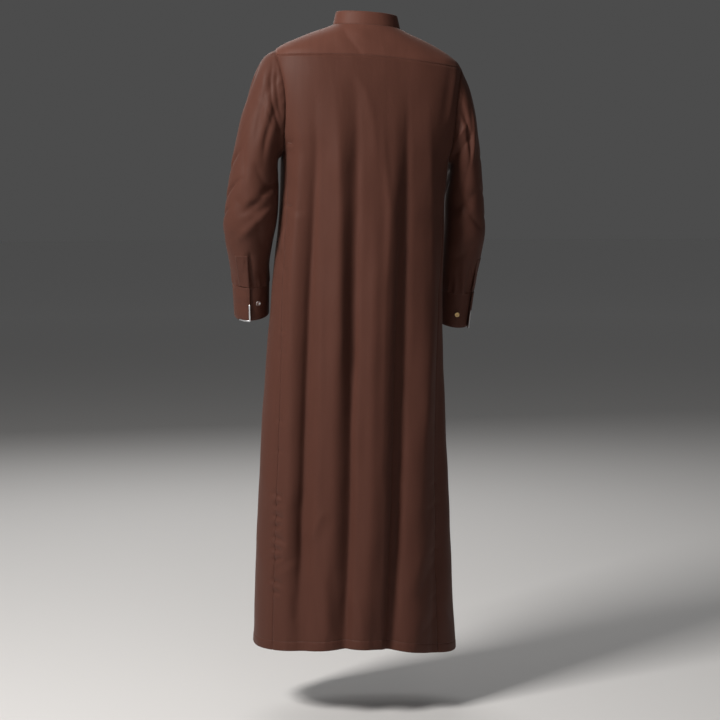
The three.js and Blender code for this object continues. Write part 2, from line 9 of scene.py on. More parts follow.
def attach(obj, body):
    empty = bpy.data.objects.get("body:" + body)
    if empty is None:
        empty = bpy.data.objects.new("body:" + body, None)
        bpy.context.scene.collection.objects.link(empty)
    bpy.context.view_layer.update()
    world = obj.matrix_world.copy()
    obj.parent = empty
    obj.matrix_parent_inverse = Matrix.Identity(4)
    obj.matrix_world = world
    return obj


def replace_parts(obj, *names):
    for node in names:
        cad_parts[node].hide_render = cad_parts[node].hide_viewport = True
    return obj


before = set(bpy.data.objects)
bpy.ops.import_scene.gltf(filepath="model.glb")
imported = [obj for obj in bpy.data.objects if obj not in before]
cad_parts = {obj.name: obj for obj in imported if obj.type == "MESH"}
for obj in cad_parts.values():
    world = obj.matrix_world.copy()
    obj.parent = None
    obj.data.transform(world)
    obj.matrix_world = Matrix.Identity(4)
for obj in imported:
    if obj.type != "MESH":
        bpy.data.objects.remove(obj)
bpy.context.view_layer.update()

# Forms are worked out in millimetres and written in metres.
mm = 0.001
robeLength = 1370
shoulderLevel = -66
underarmLevel = -290
sides = {"left": 1, "right": -1}


def table(columns, rows):
    return {name: np.array([row[k] for row in rows], float) for k, name in enumerate(columns)}


# The body's level sections, from hem to neck.
bodySections = table(
    ("level", "half", "back", "front", "x", "y", "square", "lean", "drop"),
    [
        (-1370, 232, 150, 164, 26, -4, 2.05, 0.055, 24),
        (-1270, 227, 145, 158, 27, -4, 2.1, 0.05, 18),
        (-1050, 216, 134, 148, 28, -3, 2.15, 0.04, 8),
        (-830, 205, 125, 140, 27, -2, 2.2, 0.035, 2),
        (-610, 192, 119, 134, 22, 0, 2.3, 0.03, 0),
        (-500, 188, 117, 131, 16, 0, 2.35, 0.03, 0),
        (-390, 183, 118, 130, 9, 0, 2.4, 0.03, 0),
        (-290, 186, 120, 129, 4, 0, 2.5, 0.032, 0),
        (-240, 200, 118, 126, 2, 0, 2.55, 0.038, 0),
        (-180, 212, 112, 118, 0, 0, 2.6, 0.046, 0),
        (-120, 217, 103, 102, 0, 0, 2.6, 0.055, 0),
        (-82, 213, 93, 88, 0, 0, 2.6, 0.06, 0),
        (-66, 205, 88, 81, 0, 0, 2.6, 0.06, 0),
        (-52, 187, 83, 75, 0, 0, 2.5, 0.06, 0),
        (-38, 161, 78, 69, 0, 0, 2.4, 0.06, 0),
        (-24, 131, 72, 64, 0, 0, 2.3, 0.06, 0),
        (-11, 99, 66, 60, 0, 0, 2.2, 0.06, 0),
        (0, 74, 60, 56, 0, 0, 2.1, 0.06, 0),
    ],
)
neckDip = {"front": 30, "power": 1.6, "depth": 90}

# Long folds: the turn at four levels, rise at the hem, half width, levels where each starts and is full.
foldLevels = np.array([-1370.0, -1000, -600, -200])
bodyFolds = table(
    ("hem", "knee", "hip", "chest", "rise", "spread", "starts", "full"),
    [
        (50, 48, 48, 47, -9, 6, -250, -1150),
        (34, 27, 29, 36, 5, 7, -200, -900),
        (19, 14, 16, 25, -14, 6, -110, -900),
        (2, -7, -7, 3, 9, 9, -90, -800),
        (-22, -31, -35, -31, -17, 6.5, -160, -950),
        (-37, -51, -54, -44, 7, 8, -200, -900),
        (-57, -68, -71, -64, -8, 6, -260, -1100),
        (119, 121, 124, 118, -8, 6, -280, -1100),
        (143, 146, 143, 138, -15, 7, -180, -1000),
        (160, 164, 160, 158, 6, 8, -450, -1000),
        (176, 179, 181, 182, -10, 6, -520, -1100),
        (209, 205, 207, 212, -16, 7, -200, -1000),
        (231, 236, 238, 233, -8, 6, -300, -1150),
    ],
)

armhole = {
    "turn": 90,
    "halfTurn": 19,
    "level": (shoulderLevel + underarmLevel) / 2,
    "halfLevel": 112,
    "fade": 0.22,
}
armholeJoins = {"yokeFront": -22, "yokeBack": 28, "sideBack": 150, "sideFront": 210}
rowLevels = [*range(-343, -1228, -68), -1295, -robeLength]
armholeRows = 9
yokeRise = 9
yokeFrontColumns = 4
halfColumns = 16

sideSeams = {
    "left": table(
        ("level", "back", "front"),
        [(-1370, 68.5, 113), (-830, 69, 110), (-600, 73, 107), (-400, 76, 103), (-280, 80.5, 99.5)],
    ),
    "right": table(
        ("level", "back", "front"),
        [(-1370, 61, 114), (-830, 67.5, 111), (-600, 71, 107), (-400, 76, 103), (-280, 80.5, 99.5)],
    ),
}

# Sleeve sections: the outermost and innermost points, place of the middle, half depth, and slant.
sleeveColumns = ("outX", "outZ", "inX", "inZ", "y", "deep", "slant")
sleeveSections = {
    "left": table(
        sleeveColumns,
        [
            (229, -70, 197, -288, 0, 69, 0),
            (249, -104, 200, -294, 0, 71, 0),
            (268, -160, 201, -302, -1, 72, 0),
            (285, -220, 201, -314, -1, 70, 0),
            (299, -285, 200, -332, -1, 67, 0),
            (309, -345, 200, -360, 0, 64, 0),
            (317, -400, 202, -402, -2, 61, 0.03),
            (320, -440, 206, -438, -8, 59, 0.1),
            (313, -482, 211, -474, -21, 55, 0.2),
            (303, -527, 216, -517, -40, 51, 0.27),
            (296, -568, 214, -562, -56, 47, 0.27),
        ],
    ),
    "right": table(
        sleeveColumns,
        [
            (214, -92, 189, -299, 0, 70, 0),
            (231, -128, 191, -304, -2, 73, 0),
            (245, -184, 191.5, -311, -6, 76, 0),
            (254, -240, 191.5, -321, -11, 77, 0),
            (261, -300, 190, -334, -16, 75, 0.04),
            (267, -355, 189, -362, -19, 70, 0.06),
            (273, -410, 188, -408, -22, 65, 0.1),
            (276, -452, 187, -446, -27, 61, 0.16),
            (272, -495, 185, -487, -38, 56, 0.22),
            (266, -538, 184, -530, -52, 51, 0.26),
            (259, -586, 183, -580, -66, 47, 0.26),
        ],
    ),
}
sleeveEnd = 11

# Sleeve folds: each from one place (degrees round, sections along) to another, with rise and width.
sleeveFolds = {
    "left": [
        (62, 0.4, 70, 4.2, -2.5, 9),
        (96, 0.8, 96, 4.6, -3.5, 8),
        (150, 5.4, 70, 7.2, -5, 14),
        (140, 6.6, 60, 8.6, 4, 14),
        (255, 0.8, 285, 4.4, -6, 10),
        (282, 0.6, 318, 3.8, -5, 8),
        (300, 5.2, 216, 6.8, -6, 9),
        (310, 6.3, 225, 7.4, -4, 8),
        (300, 7.6, 215, 8.4, -6, 12),
        (330, 8.6, 250, 10.2, -4, 12),
        (338, 0.7, 352, 3.4, -4, 7),
        (12, 1.6, -8, 4.8, -3.5, 7),
        (36, 4.7, -34, 6.0, -4.5, 8),
        (48, 5.8, -30, 7.0, -5, 7),
        (30, 6.9, -40, 7.8, -3.5, 8),
        (8, 8.0, -30, 9.6, -3, 8),
        (196, 1.0, 190, 3.6, -4, 9),
        (176, 5.0, 214, 6.4, -4, 9),
    ],
    "right": [
        (84, 0.6, 88, 4.4, -5, 8),
        (50, 2.2, 84, 4.6, 4, 9),
        (130, 6.2, 50, 7.8, -4, 14),
        (262, 0.8, 290, 4.4, -6, 10),
        (290, 0.6, 322, 4.0, -5, 8),
        (304, 5.0, 220, 6.6, -6, 9),
        (300, 7.4, 220, 8.3, -6, 12),
        (325, 8.4, 246, 10.0, -4, 12),
        (342, 0.7, 356, 3.2, -4, 7),
        (14, 1.4, -4, 4.4, -3.5, 7),
        (34, 4.5, -36, 5.8, -4.5, 8),
        (44, 5.9, -34, 6.9, -5, 7),
        (28, 7.0, -36, 8.0, -3.5, 8),
        (4, 8.2, -34, 9.4, -3, 8),
        (192, 1.2, 188, 3.8, -4, 9),
        (174, 5.2, 210, 6.6, -4, 9),
    ],
}

cuffs = {
    "left": {
        "bottom": {"outX": 290, "outZ": -642, "inX": 213, "inZ": -634, "y": -75, "deep": 46, "slant": 0.27},
        "lapEnd": 80,
        "studRound": 104,
        "studDown": 0.48,
        "stud": "silver_metal",
    },
    "right": {
        "bottom": {"outX": 252, "outZ": -664, "inX": 181, "inZ": -658, "y": -84, "deep": 46, "slant": 0.26},
        "lapEnd": 50,
        "studRound": 94,
        "studDown": 0.6,
        "stud": "brass_metal",
    },
}
cuffLap = {"overlap": 34, "layer": 2.1, "lift": 6.5, "rises": 40, "risen": 4}

# The view of the photo.
photoView = {
    "place": (694.6, 3939.2, -400),
    "aim": (14.4, -2.5, -741),
    "lens": 88.9,
    "sensor": 36,
    "side": 720,
}


def ease(start, end, at):
    t = np.clip((at - start) / (end - start), 0, 1)
    return t * t * (3 - 2 * t)


def bell(away, width, height=1):
    return height * np.exp(-((away / width) ** 2))


def wrapped(turn):
    return (turn + 180) % 360 - 180


# A smooth way from one value to another, with a pull at each end.
def blend(t, start, end, startPull, endPull):
    first = start * (2 * t**3 - 3 * t**2 + 1) + startPull * (t**3 - 2 * t**2 + t)
    return first + end * (3 * t**2 - 2 * t**3) + endPull * (t**3 - t**2)


# A column of a table read between its rows, without overshooting them.
def read(rows, key, at, column):
    x = rows[key]
    y = rows[column]
    rate = np.diff(y) / np.diff(x)
    slope = np.concatenate([rate[:1], np.zeros(len(x) - 2), rate[-1:]])
    before = rate[:-1]
    after = rate[1:]
    same = before * after > 0
    slope[1:-1][same] = 2 * before[same] * after[same] / (before[same] + after[same])
    place = np.clip(at, x[0], x[-1])
    i = np.clip(np.searchsorted(x, place, side="right") - 1, 0, len(x) - 2)
    span = x[i + 1] - x[i]
    return blend((place - x[i]) / span, y[i], y[i + 1], slope[i] * span, slope[i + 1] * span)


def unitVector(vectors):
    return vectors / np.linalg.norm(vectors, axis=-1, keepdims=True)


def together(*places):
    return np.broadcast_arrays(*[np.asarray(place, float) for place in places])


def sineAndCosine(turn):
    turn = np.radians(turn)
    return np.sin(turn), np.cos(turn)


def bodyFold(turn, level):
    rise = np.zeros(np.shape(turn))
    for k in range(len(bodyFolds["rise"])):
        track = {"level": foldLevels}
        track["turn"] = np.array([bodyFolds[name][k] for name in ("hem", "knee", "hip", "chest")])
        away = wrapped(turn - read(track, "level", level, "turn"))
        growth = ease(bodyFolds["starts"][k], bodyFolds["full"][k], level)
        rise = rise + growth * bell(away, bodyFolds["spread"][k], bodyFolds["rise"][k])
    return rise


def body(turn, level):
    turn, level = together(turn, level)
    at = {name: read(bodySections, "level", level, name) for name in bodySections if name != "level"}
    sine, cosine = sineAndCosine(turn)
    reach = np.where(cosine >= 0, at["back"], at["front"])
    power = at["square"]
    radius = ((np.abs(sine) / at["half"]) ** power + (np.abs(cosine) / reach) ** power) ** (-1 / power)
    out = radius + bodyFold(turn, level)
    x = at["x"] + out * sine
    y = at["y"] + out * cosine
    forward = np.maximum(-cosine, 0) ** neckDip["power"]
    dip = neckDip["front"] * forward * (1 - ease(0, -neckDip["depth"], level))
    return np.stack([x, y, level + at["lean"] * x - at["drop"] * sine * sine - dip], axis=-1)


# How far to either side of a place a surface is measured for its direction there.
probe = {"turn": 0.5, "level": 1, "rounds": 1, "along": 0.05}


def onBody(turn, level, out=0):
    inside = np.clip(level, probe["level"] - robeLength, -probe["level"])
    alongTurn = body(turn + probe["turn"], inside) - body(turn - probe["turn"], inside)
    alongLevel = body(turn, inside + probe["level"]) - body(turn, inside - probe["level"])
    normals = unitVector(np.cross(alongLevel, alongTurn))
    return body(turn, level) + normals * out, normals


def armholePlace(side, rounds):
    sine, cosine = sineAndCosine(rounds)
    turn = sides[side] * (armhole["turn"] - armhole["halfTurn"] * sine)
    return turn, armhole["level"] + armhole["halfLevel"] * cosine


def onSection(side, section, rounds):
    sine, cosine = sineAndCosine(rounds)
    x, z = [
        (section["out" + axis] + section["in" + axis]) / 2
        + (section["out" + axis] - section["in" + axis]) / 2 * cosine
        for axis in "XZ"
    ]
    y = section["y"] + section["deep"] * sine
    return np.stack([sides[side] * x, y, z - section["slant"] * section["deep"] * sine], axis=-1)


def sleeveSection(side, index):
    return {name: sleeveSections[side][name][index] for name in sleeveColumns}


# The shares of its run over which a fold grows and fades.
foldGrows = (-0.15, 0.3)
foldFades = (0.7, 1.15)


def sleeveFold(side, rounds, along):
    rise = np.zeros(np.shape(rounds))
    for start, startAlong, end, endAlong, height, spread in sleeveFolds[side]:
        share = (along - startAlong) / (endAlong - startAlong)
        away = wrapped(rounds - start - (end - start) * share)
        ends = ease(*foldGrows, share) * (1 - ease(*foldFades, share))
        rise = rise + ends * bell(away, spread, height)
    return rise


def sleeve(side, rounds, along):
    rounds, along = together(rounds, along)
    rings = [body(*armholePlace(side, rounds))]
    rings += [onSection(side, sleeveSection(side, k), rounds) for k in range(sleeveEnd)]
    rings = np.stack(rings)
    i = np.clip(np.floor(along).astype(int), 0, sleeveEnd - 1)

    def ring(index):
        picked = np.clip(index, 0, sleeveEnd)[None, ..., None]
        return np.take_along_axis(rings, np.broadcast_to(picked, (1, *rings.shape[1:])), axis=0)[0]

    start, end = ring(i), ring(i + 1)
    startPull = np.where((i == 0)[..., None], end - start, (end - ring(i - 1)) / 2)
    endPull = np.where((i == sleeveEnd - 1)[..., None], end - start, (ring(i + 2) - start) / 2)
    points = blend((along - i)[..., None], start, end, startPull, endPull)
    sine, cosine = sineAndCosine(rounds)
    outward = np.stack([sides[side] * cosine, sine, np.zeros_like(sine)], axis=-1)
    return points + outward * sleeveFold(side, rounds, along)[..., None]


def onSleeve(side, rounds, along, out=0):
    rounds, along = together(rounds, along)
    inside = np.clip(along, 2 * probe["along"], sleeveEnd - probe["along"])
    turn, step = probe["rounds"], probe["along"]
    alongRound = sleeve(side, rounds + turn, inside) - sleeve(side, rounds - turn, inside)
    alongArm = sleeve(side, rounds, inside + step) - sleeve(side, rounds, inside - step)
    normals = unitVector(np.cross(alongArm, alongRound)) * sides[side]
    return sleeve(side, rounds, along) + normals * out, normals


def cuffOut(side, rounds):
    end = cuffs[side]["lapEnd"] + 360
    start = end - cuffLap["overlap"]
    layer = cuffLap["layer"] * ease(start - cuffLap["rises"], start - cuffLap["risen"], rounds)
    return layer + (cuffLap["lift"] - cuffLap["layer"]) * ease(start, end, rounds)


def onCuff(side, rounds, down, out=0):
    rounds, down = together(rounds, down)
    top = sleeveSection(side, sleeveEnd - 1)
    bottom = cuffs[side]["bottom"]

    def at(place):
        share = down[..., None]
        return onSection(side, top, place) * (1 - share) + onSection(side, bottom, place) * share

    drop = onSection(side, bottom, rounds) - onSection(side, top, rounds)
    alongRound = at(rounds + probe["rounds"]) - at(rounds - probe["rounds"])
    normals = unitVector(np.cross(drop, alongRound)) * sides[side]
    return at(rounds) + normals * (cuffOut(side, rounds) + out)[..., None], normals


collar = {"height": 29, "lap": 7, "closing": 0.09, "layer": 2.4, "rises": 22, "risen": 3, "gap": 0.6}


def onCollar(turn, rise, out=0):
    turn, rise = together(turn, rise)
    points = body(turn, 0.0)
    sine, cosine = sineAndCosine(turn)
    normals = unitVector(np.stack([sine, cosine, np.full_like(sine, collar["closing"])], axis=-1))
    edge = 180 - collar["lap"]
    lap = collar["layer"] * ease(edge - collar["rises"], edge - collar["risen"], turn)
    points = points * np.stack([1 - collar["closing"] * rise] * 2 + [np.ones_like(rise)], axis=-1)
    points[..., 2] += collar["gap"] + collar["height"] * rise
    return points + normals * (lap + out)[..., None], normals


# Where a point shows in the photo, in its pixels, and how far it faces the camera.
def inPhoto(points, normals, front=False):
    flip = np.array([1, -1, 1]) if front else np.ones(3)
    seen = points * flip
    facing = normals * flip
    place = np.array(photoView["place"], float)
    forward = unitVector(np.array(photoView["aim"], float) - place)
    right = unitVector(np.cross(forward, [0, 0, 1]))
    up = np.cross(right, forward)
    ray = seen - place
    scale = photoView["lens"] / photoView["sensor"] * photoView["side"] / (ray @ forward)
    middle = photoView["side"] / 2
    spot = np.stack([middle + (ray @ right) * scale, middle - (ray @ up) * scale], axis=-1)
    return spot, -np.sum(unitVector(ray) * facing, axis=-1)


# How a crease is shaped across: a narrow core in a wide bed, and a lower swell along one side.
creaseShape = {"core": 0.5, "coreShare": 0.45, "bed": 1.3, "swell": 0.38, "swellAway": 1.9, "ends": 0.28}
# Creases fade where the cloth turns away from the camera.
facingFade = (0.02, 0.3)


# A soft trough or ridge of a width along a line of photo pixels, fading at both ends.
def crease(spot, rise, width, path):
    path = np.array(path, float)
    lengths = np.linalg.norm(np.diff(path, axis=0), axis=1)
    total = lengths.sum()
    away = np.full(spot.shape[:-1], np.inf)
    share = np.zeros(spot.shape[:-1])
    side = np.ones(spot.shape[:-1])
    walked = 0
    for start, end, length in zip(path[:-1], path[1:], lengths):
        line = (end - start) / length
        reach = spot - start
        t = np.clip(reach @ line, 0, length)
        gap = np.linalg.norm(reach - t[..., None] * line, axis=-1)
        nearer = gap < away
        away = np.where(nearer, gap, away)
        share = np.where(nearer, (walked + t) / total, share)
        side = np.where(nearer, np.sign(line[0] * reach[..., 1] - line[1] * reach[..., 0]), side)
        walked += length
    ends = ease(0, creaseShape["ends"], share) * (1 - ease(1 - creaseShape["ends"], 1, share))
    core = bell(away / width, creaseShape["core"], creaseShape["coreShare"])
    bed = bell(away / width, creaseShape["bed"], 1 - creaseShape["coreShare"])
    swell = bell(away * side / width - creaseShape["swellAway"], 1, creaseShape["swell"])
    return rise * ends * (core + bed - swell)


def creased(points, normals, lines, front=False, shift=(0, 0), keep=1):
    spot, facing = inPhoto(points, normals, front)
    relief = np.zeros(points.shape[:-1])
    for rise, width, path in lines:
        relief = relief + crease(spot - np.array(shift), rise, width, path)
    return relief * keep * ease(*facingFade, facing)


# Creases of the body: rise in mm, width in pixels, and the line each follows.
bodyCreases = [
    (-1.6, 5, [(340, 20), (347, 36), (358, 50), (366, 60)]),
    (1.2, 8, [(348, 30), (368, 40), (398, 54)]),
    (-2.2, 9, [(350, 56), (354, 78), (357, 105), (357, 150), (357, 200)]),
    (2, 8, [(345, 56), (354, 74), (366, 92), (374, 125), (376, 170)]),
    (-7, 8.5, [(357, 90), (357, 150), (357, 210), (355, 300), (353, 440)]),
    (5.5, 8, [(382, 80), (384, 150), (389, 210), (384, 300), (381, 440), (376, 580)]),
    (-10, 6.5, [(408, 66), (408, 150), (406, 210), (404, 300), (400, 440), (395, 560), (391, 680)]),
    (3.4, 7.5, [(338, 90), (339, 150), (341, 210), (340, 300), (340, 420)]),
    (-14, 7.5, [(314, 76), (316, 150), (313, 210), (309, 300), (306, 400), (303, 500)]
     + [(299, 600), (297, 680)]),
    (6, 7, [(428, 90), (430, 150), (431, 210), (432, 300), (427, 400), (424, 500)]),
    (3, 7, [(299, 110), (302, 150), (298, 210), (291, 300), (289, 420)]),
    (-2, 7, [(332, 560), (334, 590), (336, 620), (340, 650)]),
    (2, 6, [(322, 570), (326, 600), (328, 630), (326, 650)]),
    (2.4, 7, [(353, 590), (360, 610), (362, 640)]),
    (-1.6, 6, [(376, 440), (379, 500), (380, 560), (382, 600)]),
    (-1.6, 6, [(426, 400), (428, 450), (430, 500), (424, 550)]),
    (-3, 6, [(303, 480), (303, 492), (298, 510), (300, 531), (303, 552), (305, 590)]),
    (2.5, 5, [(309, 545), (316, 527), (326, 508)]),
    (-2, 4, [(295, 590), (296, 608), (295, 626)]),
    (-2, 4, [(272, 570), (284, 564), (298, 556)]),
    (-2.6, 6, [(441, 550), (432, 568), (425, 582), (419, 608)]),
    (-2, 5, [(441, 608), (432, 620), (420, 636)]),
    (-2, 5, [(442, 600), (450, 611), (459, 624)]),
    (2.4, 3, [(456, 56), (455, 78), (451, 104), (446, 134)]),
    (-1, 7, [(292, 176), (299, 196), (304, 220)]),
    (-1.2, 7, [(436, 200), (430, 224), (426, 250)]),
]
# The pocket on the left side seam draws up the cloth beside it.
pocketCreases = [
    (-2.6, 3.2, [(287, 214), (282, 232), (279, 248), (283, 266)]),
    (-2.2, 3, [(291, 226), (286, 246), (281, 262), (279, 280)]),
    (1.8, 3, [(285, 224), (282, 244), (281, 262)]),
    (-2, 3, [(282, 262), (287, 274), (285, 292)]),
    (-1.8, 3, [(276, 272), (280, 286), (279, 302)]),
    (-1, 4, [(289, 205), (297, 211), (306, 213)]),
    (-2.2, 1.8, [(281, 205), (287, 205.6), (295, 206.2)]),
    (-2.2, 1.8, [(285, 143), (290, 143.3), (295, 143.6)]),
]
# Puckers beside the side seams: where each starts, how far it runs, and its rise.
seamPuckers = [
    (275, 494, 11, 5, -0.9), (276, 505, 9, -3, -0.8), (275, 516, 12, 4, -1.0), (275, 527, 10, -4, -0.8),
    (275, 538, 13, 5, -1.1), (274, 549, 10, 3, -0.9), (274, 560, 12, -3, -0.9), (273, 581, 12, 5, -1.0),
    (273, 592, 9, 2, -0.7), (277, 450, 9, 3, -0.5), (278, 420, 9, 4, -0.5), (437, 482, -7, 6, -0.3),
    (437, 503, -9, 9, -0.35), (437, 531, -6, 5, -0.25), (438, 547, -9, 10, -0.4), (438, 573, -6, 7, -0.3),
    (438, 594, -8, 6, -0.35), (281, 330, 8, 3, -0.4), (280, 352, 8, 4, -0.35),
]
puckerShape = {"rise": 4.2, "width": 2.3, "places": [(-0.4, -0.4), (0.4, 0.3), (1, 1)]}
puckerLines = []
for x, y, runX, runY, rise in seamPuckers:
    path = [(x + runX * shareX, y + runY * shareY) for shareX, shareY in puckerShape["places"]]
    puckerLines.append((rise * puckerShape["rise"], puckerShape["width"], path))

sleeveCreases = {
    "left": [
        (-3.6, 3.4, [(274, 54), (270.5, 80), (271.5, 100), (277, 120), (284, 138)]),
        (-2.4, 3, [(279, 58), (276, 84), (279, 108), (285, 126)]),
        (-2, 3.2, [(266, 78), (264, 98), (268, 112), (275, 132)]),
        (-1.6, 7.5, [(263, 72), (259, 104), (267, 134), (281, 154)]),
        (1.4, 7, [(269, 62), (264, 92), (270, 120), (280, 140)]),
        (-1.1, 2.6, [(245, 134), (244.5, 150), (244.5, 168), (245, 188)]),
        (-3, 6, [(254, 160), (260, 176), (267, 186), (281, 188)]),
        (2.6, 6, [(242, 202), (256, 199), (272, 196)]),
        (-2.2, 6.5, [(246, 214), (262, 210), (276, 204)]),
        (-2.2, 7, [(256, 210), (259, 232), (264, 256)]),
        (-2, 5, [(234, 196), (242, 207), (252, 214)]),
        (-1.8, 4, [(233, 268), (236, 280), (239, 290)]),
        (-1.6, 3.5, [(243, 268), (243, 280), (245, 290)]),
        (-1.6, 4, [(260, 268), (260, 280), (258, 290)]),
        (-1.5, 5, [(229, 230), (236, 244), (240, 258)]),
    ],
    "right": [
        (-2.8, 6.5, [(459, 66), (462, 92), (459, 122), (452, 150)]),
        (3, 3.8, [(469, 119), (464, 129), (459, 136), (450, 145)]),
        (-3, 4, [(474, 128), (467, 142), (456, 154), (449, 158)]),
        (-2, 4.5, [(472, 156), (467, 172), (461, 190), (457, 200)]),
        (-1.2, 6, [(466, 70), (470, 88), (470, 104)]),
        (-3, 6, [(481, 186), (466, 203), (447, 213)]),
        (2, 6, [(480, 202), (466, 216), (450, 224)]),
        (-3, 6, [(478, 238), (464, 254), (449, 264)]),
        (-1.8, 5, [(466, 170), (463, 190), (460, 206)]),
        (-1.6, 4, [(449, 272), (451, 284), (453, 294)]),
        (-1.6, 4, [(458, 266), (458, 280), (460, 292)]),
    ],
}
# Folds of the front that the back has not: from the armholes over the chest, and from the placket's end.
frontCreases = [
    (-3, 7, [(293, 128), (304, 160), (310, 205), (312, 260)]),
    (-2.4, 6, [(300, 112), (316, 142), (326, 180)]),
    (-3, 7, [(441, 130), (430, 164), (424, 210), (422, 262)]),
    (-2.2, 6, [(434, 114), (418, 146), (408, 186)]),
    (-3, 7, [(352, 250), (350, 300), (346, 370), (345, 430)]),
    (-2.6, 7, [(376, 246), (380, 290), (388, 350), (390, 410)]),
    (2, 6, [(366, 262), (368, 300), (366, 350)]),
]
# The slit beside each placket, which only the sleeve has.
slitCreases = {
    "left": [(-5, 3.2, [(250, 250), (250, 262), (251, 276), (254, 294)])],
    "right": [(-5, 3, [(470, 258), (470, 270), (469, 282), (466, 298)])],
}
# The front of the robe, which the photo does not show, has the same kinds of crease, moved a little.
frontShift = (6, 9)
frontKeep = 0.8

# The slow unevenness of the cloth: waves by their pace along x, y and z, their phase and their height.
uneven = [
    (0.031, 0.02, 0.012, 0.4, 0.5),
    (-0.052, 0.03, 0.021, 1.9, 0.32),
    (0.02, -0.05, -0.034, 3.1, 0.35),
    (0.083, 0.04, 0.047, 4.4, 0.18),
    (-0.03, 0.07, 0.068, 5.2, 0.16),
    (0.06, 0.06, -0.009, 2.2, 0.3),
]


def unevenness(points):
    rise = np.zeros(points.shape[:-1])
    for x, y, z, phase, height in uneven:
        rise = rise + height * np.sin(points @ np.array([x, y, z]) + phase)
    return rise


# Distances from each edge of a grid of points, along its rows and columns.
def edgeDistances(points):
    across, down = [
        np.insert(np.linalg.norm(np.diff(points, axis=axis), axis=-1).cumsum(axis=axis), 0, 0, axis=axis)
        for axis in (1, 0)
    ]
    return {"start": across, "end": across[:, -1:] - across, "top": down, "bottom": down[-1:] - down}


# The cut of a piece before it was creased: its greatest width, greatest length, and area.
def cutOf(points):
    distances = edgeDistances(points)
    cells = np.cross(points[1:, :-1] - points[:-1, :-1], points[:-1, 1:] - points[:-1, :-1])
    area = np.linalg.norm(cells, axis=-1).sum()
    return distances["start"].max() * mm, distances["top"].max() * mm, area * mm * mm


# Places along a length: close together at the given distances from either end, even between.
def stations(length, step, start=(0,), end=(0,)):
    last = [length - place for place in reversed(end)]
    count = max(int(round((last[0] - start[-1]) / step)), 1)
    return np.concatenate([start, np.linspace(start[-1], last[0], count + 1)[1:-1], last])


# A wave whose pace drifts.
def ripple(at, pace, drift, driftPace):
    return np.sin(at * pace + drift * np.sin(at * driftPace))


# Steps of the grids beside a seam and a hem. Pairs such as those of a groove are its width and depth.
seamSteps = (0, 0.9, 2, 3.4, 5.4, 8)
hemSteps = (0, 0.8, 2, 4.4, 8, 12, 16, 18.4, 19.3, 20, 20.7, 21.6, 24)
seam = {"rise": 1.3, "reach": 3}
hem = {
    "deep": 20,
    "step": 0.5,
    "blur": 0.6,
    "groove": (1.1, 0.6),
    "roll": (1.2, 0.7),
    "pucker": (9, 0.35),
    "wave": (0.36, 1.5, 0.045),
}


# The cloth sinks into the seams along its edges.
def seamValley(distances, edges=("top", "start", "end")):
    share = np.ones(distances["top"].shape)
    for edge in edges:
        share = share * (1 - bell(distances[edge], seam["reach"]))
    return seam["rise"] * share


# A hem is thicker than the cloth, drawn in and puckered along its stitches and rounded at its edge.
def hemRelief(distances):
    away = distances["bottom"]
    line = away - hem["deep"]
    step = hem["step"] * (1 - ease(-hem["blur"], hem["blur"], line))
    pucker = bell(line, *hem["pucker"]) * ripple(distances["start"], *hem["wave"])
    return step - bell(line, *hem["groove"]) + pucker - bell(away, *hem["roll"])


# Edges that roll off, with a groove along the stitches at an inset from them.
def edgeRelief(distances, edges, roll, groove=(1, 0), inset=0):
    return -sum(bell(distances[edge], *roll) + bell(distances[edge] - inset, *groove) for edge in edges)


def meshFrom(name, work):
    mesh = bpy.data.meshes.new(name)
    work.to_mesh(mesh)
    work.free()
    return mesh


def gridMesh(name, columns, rows, size):
    grid = bmesh.new()
    bmesh.ops.create_grid(grid, x_segments=columns - 1, y_segments=rows - 1, size=size)
    return meshFrom(name, grid)


def smooth(mesh):
    mesh.polygons.foreach_set("use_smooth", np.ones(len(mesh.polygons), bool))


def valuesOf(items, key, width=1, kind=float):
    found = np.zeros(len(items) * width, kind)
    items.foreach_get(key, found)
    return found.reshape(-1, width) if width > 1 else found


def placed(name, data):
    item = bpy.data.objects.new(name, data)
    bpy.context.scene.collection.objects.link(item)
    return item


def pieceOf(mesh, name, material):
    piece = placed(name, mesh)
    mesh.materials.append(material)
    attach(piece, "root")
    return piece


def standing(place, direction):
    turn = Vector(direction).to_track_quat("Z", "Y").to_matrix().to_4x4()
    return Matrix.Translation(Vector(place * mm)) @ turn


# How near the two edges of a tube lie that are joined to one.
tubeJoin = 0.01


